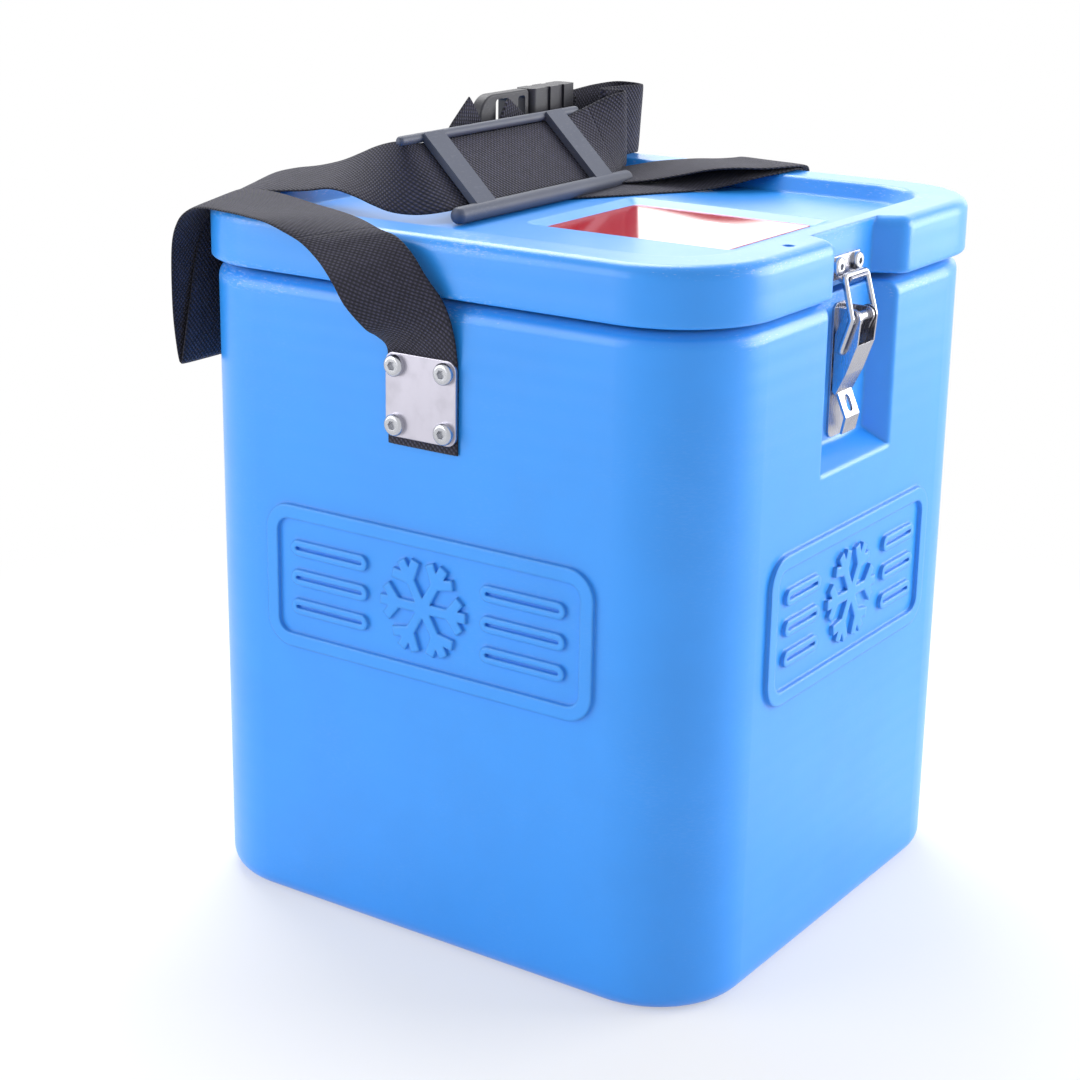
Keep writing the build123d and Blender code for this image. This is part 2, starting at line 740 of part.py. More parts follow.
with BuildPart() as latch_base_screws:
    screw_seat = recess_plane.offset(sheet)
    with BuildSketch(screw_seat):
        for screw_z in latch_screw_z:
            with Locations((0, screw_z)):
                Circle(latch_head_radius)
    extrude(amount=latch_head_height)
    fillet(latch_base_screws.faces().sort_by(Axis.Y)[: len(latch_screw_z)].edges(), 0.9)
    with BuildSketch(screw_seat):
        for screw_z in latch_screw_z:
            with Locations((0, screw_z)):
                Circle(latch_screw_radius)
    extrude(amount=-latch_screw_length)
save(latch_base_screws, "latch_base_screws")

with BuildPart() as latch_pivot_pin:
    side_disc(pin_radius, -lever_half - 0.3, lever_half + 0.3)
    fillet(latch_pivot_pin.edges().filter_by(GeomType.CIRCLE), 0.3)
save(latch_pivot_pin, "latch_pivot_pin")

web_top = (-3.7, -12.0)
web_middle = (1.5, -26.7)
web_bottom = (6.4, -37.0)
cheek_back = 8.0
foot_top = Vector(5.9, -36.0)
foot_knee = Vector(0.9, -47.5)
foot_tip = Vector(2.6, -55.6)

with BuildPart() as latch_lever:
    cheek = [(-cheek_radius, 0), web_top, web_middle, web_bottom, (cheek_back, -35.0), (cheek_back, -8.0), (cheek_radius, 0)]
    side_plate(cheek, -lever_half, lever_half)
    side_disc(cheek_radius, -lever_half, lever_half)
    inner = [(-12.0, -12.0), (-2.3, -12.0), (2.7, -26.2), (7.2, -35.8), (12.0, -35.8), (12.0, 12.0), (-12.0, 12.0)]
    side_plate(inner, -lever_half + sheet, lever_half - sheet, mode=Mode.SUBTRACT)
    side_disc(pin_radius + pin_clearance, -lever_half, lever_half, mode=Mode.SUBTRACT)
    side_disc(bail_radius + pin_clearance, -lever_half, lever_half, mode=Mode.SUBTRACT, at=(bail_end_y, bail_end_z))
    foot_face = [(point.X, point.Y) for point in (foot_top, foot_knee, foot_tip)]
    foot_back = [(foot_tip.X + sheet, foot_tip.Y + 0.2), (foot_knee.X + 1.3, foot_knee.Y - 0.1), (foot_top.X + 1.5, foot_top.Y)]
    side_plate(foot_face + foot_back, -foot_half, foot_half)
    slot_middle = (foot_top + foot_knee) / 2
    slope = (foot_knee - foot_top).normalized()
    foot_plane = Plane(
        origin=(0, pin_y + slot_middle.X, pin_z + slot_middle.Y),
        x_dir=(1, 0, 0),
        z_dir=(0, slope.Y, -slope.X),
    )
    with BuildSketch(foot_plane):
        SlotOverall(foot_slot_length, foot_slot_width, rotation=90)
    extrude(amount=3.0, both=True, mode=Mode.SUBTRACT)
save(latch_lever, "latch_lever")

with BuildPart() as latch_bail:
    stub_end = lever_half - sheet - 0.3
    route = [
        (-stub_end, bail_end_y, bail_end_z),
        (-bail_half, bail_end_y, bail_end_z),
        (-bail_half, -1.5, 0.5),
        (-bail_half + 0.6, bail_bar_y, bail_bar_z),
        (bail_half - 0.6, bail_bar_y, bail_bar_z),
        (bail_half, -1.5, 0.5),
        (bail_half, bail_end_y, bail_end_z),
        (stub_end, bail_end_y, bail_end_z),
    ]
    with BuildLine() as bail_line:
        FilletPolyline(*[(x, pin_y + y, pin_z + z) for x, y, z in route], radius=2.2)
    with BuildSketch(Plane(origin=bail_line.line @ 0, z_dir=bail_line.line % 0)):
        Circle(bail_radius)
    sweep()
save(latch_bail, "latch_bail")

hook_points = [
    (floor_rel, 18.9),
    (bail_bar_y + 4.4, 18.9),
    (bail_bar_y + 0.6, 17.1),
    (bail_bar_y - 2.1, 19.8),
    (bail_bar_y - 2.95, 18.95),
    (bail_bar_y + 0.4, 15.5),
    (bail_bar_y + 5.2, keeper_low),
    (floor_rel, keeper_low),
]

with BuildPart() as latch_keeper:
    with BuildSketch(recess_plane):
        with Locations((0, pin_z + (keeper_low + keeper_high) / 2)):
            Rectangle(2 * keeper_half, keeper_high - keeper_low)
        with Locations((0, keeper_screw_z)):
            with GridLocations(keeper_screw_pitch, 0, 2, 1):
                Circle(latch_screw_radius + hole_clearance, mode=Mode.SUBTRACT)
    extrude(amount=keeper_thickness)
    side_plate(hook_points, -bail_half + 3.6, bail_half - 3.6)
save(latch_keeper, "latch_keeper")

with BuildPart() as keeper_screws:
    screw_seat = recess_plane.offset(keeper_thickness)
    with BuildSketch(screw_seat):
        with Locations((0, keeper_screw_z)):
            with GridLocations(keeper_screw_pitch, 0, 2, 1):
                Circle(keeper_head_radius)
    extrude(amount=keeper_head_height)
    fillet(keeper_screws.faces().sort_by(Axis.Y)[:2].edges(), 1.3)
    with BuildSketch(screw_seat):
        with Locations((0, keeper_screw_z)):
            with GridLocations(keeper_screw_pitch, 0, 2, 1):
                Circle(latch_screw_radius)
    extrude(amount=-latch_screw_length)
    with BuildSketch(screw_seat.offset(keeper_head_height)):
        with Locations((0, keeper_screw_z)):
            with GridLocations(keeper_screw_pitch, 0, 2, 1):
                RegularPolygon(1.4, 6, major_radius=False)
    extrude(amount=-1.5, mode=Mode.SUBTRACT)
save(keeper_screws, "keeper_screws")


# ---- Ice packs ----

def ice_pack(centre_x, centre_y, size_x, size_y, name):
    bottom = cavity_floor + pack_seat
    with BuildPart() as pack:
        with BuildSketch(Plane.XY.offset(bottom)):
            with Locations((centre_x, centre_y)):
                RectangleRounded(size_x, size_y, pack_round)
        extrude(amount=pack_height)
        fillet(pack.faces().sort_by(Axis.Z)[0].edges(), pack_round - 1.0)
        fillet(pack.faces().sort_by(Axis.Z)[-1].edges(), pack_round - 1.0)
    save(pack, name)


pack_x = cavity_width / 2 - pack_seat - pack_thickness / 2
pack_y = cavity_depth / 2 - pack_seat - pack_thickness / 2
ice_pack(-pack_x, 0, pack_thickness, pack_width, "ice_pack_left")
ice_pack(pack_x, 0, pack_thickness, pack_width, "ice_pack_right")
ice_pack(0, -pack_y, pack_width, pack_thickness, "ice_pack_front")
ice_pack(0, pack_y, pack_width, pack_thickness, "ice_pack_back")

with BuildPart() as ice_pack_caps:
    with BuildSketch(Plane.XY.offset(cavity_floor + pack_seat + pack_height)):
        with Locations((-pack_x, 40), (pack_x, -40), (-40, -pack_y), (40, pack_y)):
            Circle(cap_radius)
    extrude(amount=cap_height)
    fillet(ice_pack_caps.faces().sort_by(Axis.Z)[-4:].edges(), 1.5)
save(ice_pack_caps, "ice_pack_caps")


# ---- Strap on the lid ----

grip_plane = Plane(
    origin=(grip_x, grip_y, grip_z),
    x_dir=(1, 0, 0),
    z_dir=(0, -grip_rise, grip_run),
)

with BuildPart() as grip_frame:
    with BuildSketch(Plane.YZ.offset(grip_x - grip_length / 2)):
        with Locations((grip_y - grip_low_reach * grip_run, grip_z - grip_low_reach * grip_rise)):
            Circle(grip_low_rail / 2)
        with Locations((grip_y + grip_high_reach * grip_run, grip_z + grip_high_reach * grip_rise)):
            Circle(grip_high_rail / 2)
    extrude(amount=grip_length)
    rail_rims = grip_frame.edges().filter_by(GeomType.CIRCLE).group_by(SortBy.RADIUS)
    fillet(rail_rims[-1], grip_low_rail * grip_rail_end)
    fillet(rail_rims[0], grip_high_rail * grip_rail_end)
    with BuildSketch(grip_plane):
        with Locations((0, (grip_high_reach - grip_low_reach) / 2)):
            with GridLocations(grip_bar_pitch, 0, 2, 1):
                Rectangle(grip_bar, grip_low_reach + grip_high_reach)
    extrude(amount=grip_bar_thickness)
save(grip_frame, "grip_frame")

with BuildPart() as webbing_grip_run:
    with BuildSketch(grip_plane.offset(-seat_gap - strap_thickness)):
        with Locations(((run_right + run_left) / 2 - grip_x, 0)):
            Rectangle(run_right - run_left, strap_width)
    extrude(amount=strap_thickness)
save(webbing_grip_run, "webbing_grip_run")

with BuildPart() as webbing_end_loop:
    with BuildSketch(Plane.XY.offset(rim_seat)):
        with BuildLine():
            start = (run_right + seat_gap, loop_near_y)
            end = (buckle_x + socket_length / 2 + seat_gap, buckle_y)
            FilletPolyline(start, (loop_turn_x, loop_near_y), (loop_turn_x, buckle_y), end, radius=loop_round)
        trace(line_width=strap_thickness)
    extrude(amount=strap_width)
save(webbing_end_loop, "webbing_end_loop")

with BuildPart() as webbing_right_run:
    with BuildSketch(Plane.XZ.offset(-right_run_y)):
        with BuildLine():
            lift = strap_thickness / 2
            rim_x = lid_width / 2 - rim_width
            run_end = lid_width / 2 + right_run_past
            points = [(run_end - right_run_length, dish_seat + lift), (rim_x - right_run_ramp, dish_seat + lift)]
            points += [(rim_x - 1.0, rim_seat + lift), (run_end, rim_seat + lift)]
            FilletPolyline(*points, radius=5.0)
        trace(line_width=strap_thickness)
    extrude(amount=strap_width)
save(webbing_right_run, "webbing_right_run")

with BuildPart() as webbing_left_over:
    with BuildSketch(Plane.XY.offset(rim_seat)):
        with BuildLine():
            Polyline(*[(x - lid_width / 2, y + lid_depth / 2) for x, y in left_over_corners], close=True)
        make_face()
    extrude(amount=strap_thickness)
save(webbing_left_over, "webbing_left_over")

with BuildPart() as webbing_rear_loop:
    with BuildSketch(Plane.YZ.offset(rear_loop_inset - lid_width / 2 - strap_width / 2)):
        with BuildLine():
            near_y = depth / 2 + seat_gap + strap_thickness / 2
            far_y = near_y + rear_loop_spread
            low = lid_bottom - rear_loop_drop
            high = low + rear_loop_length
            points = [(near_y, high), (near_y, low), (far_y, low), (far_y, high)]
            FilletPolyline(*points, radius=4.0)
        trace(line_width=strap_thickness)
    extrude(amount=strap_width)
save(webbing_rear_loop, "webbing_rear_loop")

socket_mouth_x = buckle_x - socket_length / 2
plug_end_x = socket_mouth_x - seat_gap
buckle_middle_z = dish_seat + buckle_width / 2

with BuildPart() as buckle_socket:
    with BuildSketch(Plane.XY.offset(dish_seat)):
        with Locations((buckle_x, buckle_y)):
            RectangleRounded(socket_length, buckle_thickness, edge_round)
            for face_y in (-buckle_thickness / 2, buckle_thickness / 2):
                with Locations((0, face_y)):
                    with GridLocations(socket_groove_pitch, 0, 2, 1):
                        Rectangle(socket_groove_width, 2 * socket_groove_depth, mode=Mode.SUBTRACT)
    extrude(amount=buckle_width)
    with BuildSketch(Plane.YZ.offset(socket_mouth_x)):
        with Locations((buckle_y, buckle_middle_z)):
            RectangleRounded(tongue_thickness + 1.0, tongue_width + 1.0, 1.5)
    extrude(amount=tongue_length + 1.0, mode=Mode.SUBTRACT)
save(buckle_socket, "buckle_socket")

with BuildPart() as buckle_plug:
    with BuildSketch(Plane.XZ.offset(-buckle_y)):
        with Locations((plug_end_x - plug_length / 2, buckle_middle_z)):
            RectangleRounded(plug_length, buckle_width, plug_corner)
        with Locations((plug_end_x - plug_length / 4, buckle_middle_z)):
            RectangleRounded(plug_length / 2, buckle_width, 2.0)
        for window_x, window_width in plug_windows:
            with Locations((plug_end_x + window_x, buckle_middle_z)):
                RectangleRounded(window_width, buckle_width - 2 * plug_rim, 2.0, mode=Mode.SUBTRACT)
    extrude(amount=plug_thickness / 2, both=True)
    plug_faces = buckle_plug.faces().sort_by(Axis.Y)
    fillet(plug_faces[0].outer_wire().edges(), plug_edge_round)
    fillet(buckle_plug.faces().sort_by(Axis.Y)[-1].outer_wire().edges(), plug_edge_round)
    with BuildSketch(Plane.YZ.offset(plug_end_x - plug_edge_round)):
        with Locations((buckle_y, buckle_middle_z)):
            RectangleRounded(tongue_thickness, tongue_width, 1.0)
    extrude(amount=tongue_length + plug_edge_round - 1.0)
save(buckle_plug, "buckle_plug")
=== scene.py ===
"""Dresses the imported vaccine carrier: shoulder strap, stitching, finishes, light and camera."""
import math

import bpy
import numpy as np
from bpy.props import FloatProperty, FloatVectorProperty, PointerProperty
from mathutils import Matrix, Vector


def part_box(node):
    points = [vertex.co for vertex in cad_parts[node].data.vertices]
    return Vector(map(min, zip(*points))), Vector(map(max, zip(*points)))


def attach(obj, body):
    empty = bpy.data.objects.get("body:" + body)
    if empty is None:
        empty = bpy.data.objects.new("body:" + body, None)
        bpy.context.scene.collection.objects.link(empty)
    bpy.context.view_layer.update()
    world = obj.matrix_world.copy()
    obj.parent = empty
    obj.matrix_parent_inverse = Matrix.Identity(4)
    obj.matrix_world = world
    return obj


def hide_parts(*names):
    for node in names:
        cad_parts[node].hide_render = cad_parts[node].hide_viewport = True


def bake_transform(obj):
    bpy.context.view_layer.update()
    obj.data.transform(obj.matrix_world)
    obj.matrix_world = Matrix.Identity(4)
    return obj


bl_info = {
    "name": "Vaccine Carrier Dressing",
    "version": (1, 0, 0),
    "blender": (4, 5, 0),
    "location": "3D View > Sidebar > Carrier",
    "description": "Adds the strap, small fittings and finishes of an insulated vaccine carrier",
    "category": "Object",
}

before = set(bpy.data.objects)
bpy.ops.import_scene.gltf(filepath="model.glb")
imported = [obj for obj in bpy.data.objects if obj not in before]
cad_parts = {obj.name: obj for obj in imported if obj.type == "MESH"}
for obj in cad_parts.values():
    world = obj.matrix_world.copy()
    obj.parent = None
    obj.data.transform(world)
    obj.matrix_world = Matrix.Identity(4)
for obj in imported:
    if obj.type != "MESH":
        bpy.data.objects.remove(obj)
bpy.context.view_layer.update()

MM = 0.001
BODY_LOW, BODY_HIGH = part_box("body_shell")
LID_LOW, LID_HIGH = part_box("lid_shell")
LABEL_LOW, LABEL_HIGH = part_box("lid_label")


# ---- Settings ----


class CarrierShellSettings(bpy.types.PropertyGroup):
    """Finish of the blue outer shells."""

    colour: FloatVectorProperty(
        name="Shell colour",
        description="Colour of the moulded body and lid",
        subtype="COLOR",
        size=3,
        min=0,
        max=1,
        default=(0.024, 0.300, 0.90),
    )
    roughness: FloatProperty(
        name="Shell roughness", description="How dull the shell is", min=0, max=1, default=0.34
    )
    scuffs: FloatProperty(
        name="Scuffs", description="Amount of pale rubbing along the edges", min=0, max=1, default=0.55
    )


class CarrierStrapSettings(bpy.types.PropertyGroup):
    """Size and finish of the shoulder strap."""

    width: FloatProperty(
        name="Strap width",
        description="Width of the webbing",
        unit="LENGTH",
        min=0.02,
        max=0.06,
        default=0.04,
    )
    thickness: FloatProperty(
        name="Strap thickness",
        description="Thickness of the webbing",
        unit="LENGTH",
        min=0.0008,
        max=0.004,
        default=0.0016,
    )
    weave_pitch: FloatProperty(
        name="Weave pitch",
        description="Distance between the ribs of the weave",
        unit="LENGTH",
        min=0.0005,
        max=0.004,
        default=0.0026,
    )
    colour: FloatVectorProperty(
        name="Strap colour",
        description="Colour of the webbing",
        subtype="COLOR",
        size=3,
        min=0,
        max=1,
        default=(0.020, 0.0195, 0.036),
    )


class CarrierFittingSettings(bpy.types.PropertyGroup):
    """Colours of the small fittings and the label."""

    grip_colour: FloatVectorProperty(
        name="Grip frame colour",
        description="Colour of the two-rail frame on the strap",
        subtype="COLOR",
        size=3,
        min=0,
        max=1,
        default=(0.070, 0.080, 0.115),
    )
    label_colour: FloatVectorProperty(
        name="Label colour",
        description="Main colour of the lid's label",
        subtype="COLOR",
        size=3,
        min=0,
        max=1,
        default=(0.70, 0.010, 0.022),
    )
    steel_colour: FloatVectorProperty(
        name="Steel colour",
        description="Colour of the stainless plates",
        subtype="COLOR",
        size=3,
        min=0,
        max=1,
        default=(0.50, 0.485, 0.56),
    )


class CarrierStageSettings(bpy.types.PropertyGroup):
    """Floor and light."""

    floor_colour: FloatVectorProperty(
        name="Floor colour",
        description="Colour of the floor",
        subtype="COLOR",
        size=3,
        min=0,
        max=1,
        default=(0.90, 0.90, 0.91),
    )
    right_power: FloatProperty(
        name="Right light",
        description="Power of the soft light on the latch face",
        unit="POWER",
        min=0,
        default=33.0,
    )
    left_power: FloatProperty(
        name="Left light",
        description="Power of the soft light on the strap plate's side",
        unit="POWER",
        min=0,
        default=16.0,
    )
    back_power: FloatProperty(
        name="Back light",
        description="Power of the light that lies on the lid",
        unit="POWER",
        min=0,
        default=6.5,
    )
    top_power: FloatProperty(
        name="Top light", description="Power of the light overhead", unit="POWER", min=0, default=32.0
    )


# ---- Node helpers ----


def link(tree, source, target):
    """Joins an output socket, or gives a plain value, to an input socket."""
    if isinstance(source, bpy.types.NodeSocket):
        tree.links.new(source, target)
    else:
        target.default_value = source


def math_node(tree, operation, first, second=0.0, third=0.0, clamp=False):
    """The result of one math operation on sockets or numbers."""
    node = tree.nodes.new("ShaderNodeMath")
    node.operation = operation
    node.use_clamp = clamp
    for socket, value in zip(node.inputs, (first, second, third)):
        link(tree, value, socket)
    return node.outputs[0]


def mix_colour(tree, factor, first, second):
    """A colour between two colours or sockets."""
    node = tree.nodes.new("ShaderNodeMix")
    node.data_type = "RGBA"
    link(tree, factor, node.inputs["Factor"])
    colours = [socket for socket in node.inputs if socket.type == "RGBA"]
    for socket, value in zip(colours, (first, second)):
        link(tree, value if isinstance(value, bpy.types.NodeSocket) else (*value[:3], 1.0), socket)
    return [socket for socket in node.outputs if socket.type == "RGBA"][0]


def map_range(tree, value, low, high, new_low=0.0, new_high=1.0):
    """A smooth step of a value from one range to another."""
    node = tree.nodes.new("ShaderNodeMapRange")
    node.interpolation_type = "SMOOTHSTEP"
    for name, item in (
        ("Value", value),
        ("From Min", low),
        ("From Max", high),
        ("To Min", new_low),
        ("To Max", new_high),
    ):
        link(tree, item, node.inputs[name])
    return node.outputs["Result"]


def noise(tree, vector, scale, detail=3.0, roughness=0.55):
    """A noise value at a vector socket."""
    node = tree.nodes.new("ShaderNodeTexNoise")
    link(tree, vector, node.inputs["Vector"])
    link(tree, scale, node.inputs["Scale"])
    node.inputs["Detail"].default_value = detail
    node.inputs["Roughness"].default_value = roughness
    return node.outputs["Fac"]


def stretched(tree, vector, factors):
    """A vector multiplied by one factor for each axis."""
    node = tree.nodes.new("ShaderNodeVectorMath")
    node.operation = "MULTIPLY"
    link(tree, vector, node.inputs[0])
    node.inputs[1].default_value = factors
    return node.outputs[0]


def split(tree, vector):
    """The x, y and z sockets of a vector."""
    node = tree.nodes.new("ShaderNodeSeparateXYZ")
    link(tree, vector, node.inputs[0])
    return node.outputs


def begin_group(name, inputs, outputs):
    """A new shader group with value or vector inputs and value outputs; gives its tree and end nodes."""
    tree = bpy.data.node_groups.new(name, "ShaderNodeTree")
    for socket_name, kind, value in inputs:
        socket = tree.interface.new_socket(socket_name, in_out="INPUT", socket_type=kind)
        if value is not None:
            socket.default_value = value
    for socket_name in outputs:
        tree.interface.new_socket(socket_name, in_out="OUTPUT", socket_type="NodeSocketFloat")
    return tree, tree.nodes.new("NodeGroupInput"), tree.nodes.new("NodeGroupOutput")


def place_group(tree, name, **values):
    """A group node in a material, with its inputs set or linked."""
    node = tree.nodes.new("ShaderNodeGroup")
    node.node_tree = bpy.data.node_groups[name]
    for key, value in values.items():
        link(tree, value, node.inputs[key.replace("_", " ")])
    return node


def build_grain_group():
    """Fine moulded grain: two sizes of noise added together."""
    tree, given, result = begin_group(
        "Moulded grain",
        (("Vector", "NodeSocketVector", None), ("Scale", "NodeSocketFloat", 900.0)),
        ("Height", "Mottle"),
    )
    fine = noise(tree, given.outputs["Vector"], given.outputs["Scale"], 2.0)
    coarse = noise(
        tree, given.outputs["Vector"], math_node(tree, "MULTIPLY", given.outputs["Scale"], 0.03), 4.0
    )
    link(
        tree,
        math_node(tree, "ADD", math_node(tree, "MULTIPLY", fine, 0.6), coarse),
        result.inputs["Height"],
    )
    link(tree, coarse, result.inputs["Mottle"])


def build_scuff_group():
    """Broken rubbing marks: streaky noise cut off at a threshold, kept inside a mask."""
    tree, given, result = begin_group(
        "Scuff marks",
        (
            ("Vector", "NodeSocketVector", None),
            ("Mask", "NodeSocketFloat", 1.0),
            ("Amount", "NodeSocketFloat", 0.5),
        ),
        ("Marks",),
    )
    streaks = noise(tree, stretched(tree, given.outputs["Vector"], (1.0, 1.0, 5.0)), 330.0, 4.0, 0.65)
    patches = noise(tree, given.outputs["Vector"], 14.0, 3.0)
    marks = map_range(
        tree, math_node(tree, "ADD", streaks, math_node(tree, "MULTIPLY", patches, 0.55)), 0.84, 1.0
    )
    marks = math_node(tree, "MULTIPLY", marks, given.outputs["Mask"])
    link(tree, math_node(tree, "MULTIPLY", marks, given.outputs["Amount"]), result.inputs["Marks"])


def build_line_group():
    """Faint level lines left by the mould, a little uneven along their length."""
    tree, given, result = begin_group(
        "Mould lines",
        (("Vector", "NodeSocketVector", None), ("Pitch", "NodeSocketFloat", 0.011)),
        ("Height",),
    )
    height = split(tree, given.outputs["Vector"])[2]
    waver = math_node(tree, "MULTIPLY", noise(tree, given.outputs["Vector"], 9.0, 2.0), 0.003)
    turns = math_node(tree, "DIVIDE", math_node(tree, "ADD", height, waver), given.outputs["Pitch"])
    wave = math_node(tree, "SINE", math_node(tree, "MULTIPLY", turns, 2 * math.pi))
    patches = noise(tree, stretched(tree, given.outputs["Vector"], (3.0, 3.0, 30.0)), 2.0, 3.0)
    link(tree, math_node(tree, "MULTIPLY", wave, patches), result.inputs["Height"])


def build_weave_group():
    """Twill webbing from the strap's own map in metres: slanting ribs broken by the rows of weft."""
    tree, given, result = begin_group(
        "Webbing weave",
        (
            ("Vector", "NodeSocketVector", None),
            ("Pitch", "NodeSocketFloat", 0.0016),
            ("Width", "NodeSocketFloat", 0.04),
        ),
        ("Height", "Gap shade", "Edge"),
    )
    across, along, _ = split(tree, given.outputs["Vector"])
    column = math_node(tree, "DIVIDE", across, given.outputs["Pitch"])
    row = math_node(tree, "DIVIDE", along, given.outputs["Pitch"])
    slant = math_node(
        tree, "SINE", math_node(tree, "MULTIPLY", math_node(tree, "ADD", column, row), math.pi)
    )
    counter = math_node(
        tree, "SINE", math_node(tree, "MULTIPLY", math_node(tree, "SUBTRACT", column, row), math.pi)
    )
    ribs = math_node(tree, "MULTIPLY", slant, slant)
    beads = math_node(tree, "MULTIPLY", counter, counter)
    height = math_node(
        tree, "MULTIPLY", ribs, math_node(tree, "ADD", math_node(tree, "MULTIPLY", beads, 0.8), 0.2)
    )
    link(tree, height, result.inputs["Height"])
    # Painted shade mask: 1 in the low spots between the threads, where shade would fall
    link(tree, map_range(tree, height, 0.02, 0.25, 1.0, 0.0), result.inputs["Gap shade"])
    reach = math_node(tree, "DIVIDE", math_node(tree, "ABSOLUTE", across), given.outputs["Width"])
    link(tree, map_range(tree, reach, 0.44, 0.49), result.inputs["Edge"])


def build_brush_group():
    """Brushed metal: noise drawn out along one axis, with a few broad stains."""
    tree, given, result = begin_group(
        "Brushed grain",
        (("Vector", "NodeSocketVector", None), ("Scale", "NodeSocketFloat", 60.0)),
        ("Height", "Stain"),
    )
    drawn = noise(
        tree, stretched(tree, given.outputs["Vector"], (14.0, 14.0, 1.0)), given.outputs["Scale"], 3.0, 0.6
    )
    link(tree, drawn, result.inputs["Height"])
    link(
        tree,
        map_range(tree, noise(tree, given.outputs["Vector"], 70.0, 4.0), 0.45, 0.75),
        result.inputs["Stain"],
    )


def build_groups():
    """Makes each shared effect once."""
    if "Moulded grain" not in bpy.data.node_groups:
        build_grain_group()
        build_scuff_group()
        build_line_group()
        build_weave_group()
        build_brush_group()


def new_material(name, colour, roughness, metallic=0.0):
    """A Principled material; gives the material, its tree, the shader and object coordinates."""
    build_groups()
    material = bpy.data.materials.new(name)
    material.use_nodes = True
    material.diffuse_color = (*colour[:3], 1.0)
    tree = material.node_tree
    shader = tree.nodes["Principled BSDF"]
    shader.inputs["Base Color"].default_value = (*colour[:3], 1.0)
    shader.inputs["Roughness"].default_value = roughness
    shader.inputs["Metallic"].default_value = metallic
    place = tree.nodes.new("ShaderNodeTexCoord").outputs["Object"]
    return material, tree, shader, place


def bump(tree, shader, height, distance, strength=1.0, rounding=0.0):
    """Feeds a height through a Bump node to the shader's normal, with sharp edges softened by a radius."""
    node = tree.nodes.new("ShaderNodeBump")
    if rounding:
        soften = tree.nodes.new("ShaderNodeBevel")
        soften.samples = 6
        soften.inputs["Radius"].default_value = rounding
        tree.links.new(soften.outputs["Normal"], node.inputs["Normal"])
    node.inputs["Strength"].default_value = strength
    node.inputs["Distance"].default_value = distance
    link(tree, height, node.inputs["Height"])
    tree.links.new(node.outputs["Normal"], shader.inputs["Normal"])


def dress(node_names, material):
    """Gives CAD nodes one material."""
    for name in node_names:
        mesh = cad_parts[name].data
        mesh.materials.clear()
        mesh.materials.append(material)


# ---- Materials ----


def band(tree, value, middle, reach):
    """1 at a value's middle, falling smoothly to 0 at the reach on either side."""
    away = math_node(tree, "ABSOLUTE", math_node(tree, "SUBTRACT", value, middle))
    return map_range(tree, away, reach * 0.25, reach, 1.0, 0.0)


def shell_plastic(settings):
    """Semi-gloss moulded plastic with mould lines, mottle, and pale scuffs at the rims and corners."""
    material, tree, shader, place = new_material("Shell plastic", settings.colour, settings.roughness)
    x, y, z = split(tree, place)
    grain = place_group(tree, "Moulded grain", Vector=place, Scale=700.0)
    lines = place_group(tree, "Mould lines", Vector=place)
    rims = math_node(
        tree, "MAXIMUM", band(tree, z, BODY_HIGH.z - 4 * MM, 6 * MM), band(tree, z, LID_LOW.z, 4 * MM)
    )
    rims = math_node(tree, "MAXIMUM", rims, band(tree, z, LID_HIGH.z - 2 * MM, 5 * MM))
    side = math_node(tree, "ABSOLUTE", x)
    front = math_node(tree, "ABSOLUTE", y)
    turn = math_node(tree, "ADD", side, front)
    corner = band(tree, turn, (BODY_HIGH.x + BODY_HIGH.x + 20 * MM) - 28 * MM, 10 * MM)
    wear = math_node(tree, "MAXIMUM", rims, math_node(tree, "MULTIPLY", corner, 0.35))
    wear = math_node(tree, "ADD", wear, 0.06, clamp=True)
    scuff = place_group(tree, "Scuff marks", Vector=place, Mask=wear, Amount=settings.scuffs)
    pale = [0.35 + 0.65 * channel for channel in settings.colour]
    deep = [0.95 * channel for channel in settings.colour]
    mottled = mix_colour(tree, map_range(tree, grain.outputs["Mottle"], 0.3, 0.75), settings.colour, deep)
    link(tree, mix_colour(tree, scuff.outputs["Marks"], mottled, pale), shader.inputs["Base Color"])
    rough = math_node(tree, "MULTIPLY", grain.outputs["Mottle"], 0.12)
    rough = math_node(tree, "ADD", rough, math_node(tree, "MULTIPLY", scuff.outputs["Marks"], 0.3))
    link(tree, math_node(tree, "ADD", rough, settings.roughness - 0.06), shader.inputs["Roughness"])
    height = math_node(
        tree, "ADD", grain.outputs["Height"], math_node(tree, "MULTIPLY", lines.outputs["Height"], 1.6)
    )
    bump(tree, shader, height, 0.00008, 0.4, rounding=2.2 * MM)
    shader.inputs["Coat Weight"].default_value = 0.25
    shader.inputs["Coat Roughness"].default_value = 0.22
    shader.inputs["IOR"].default_value = 1.5
    return material


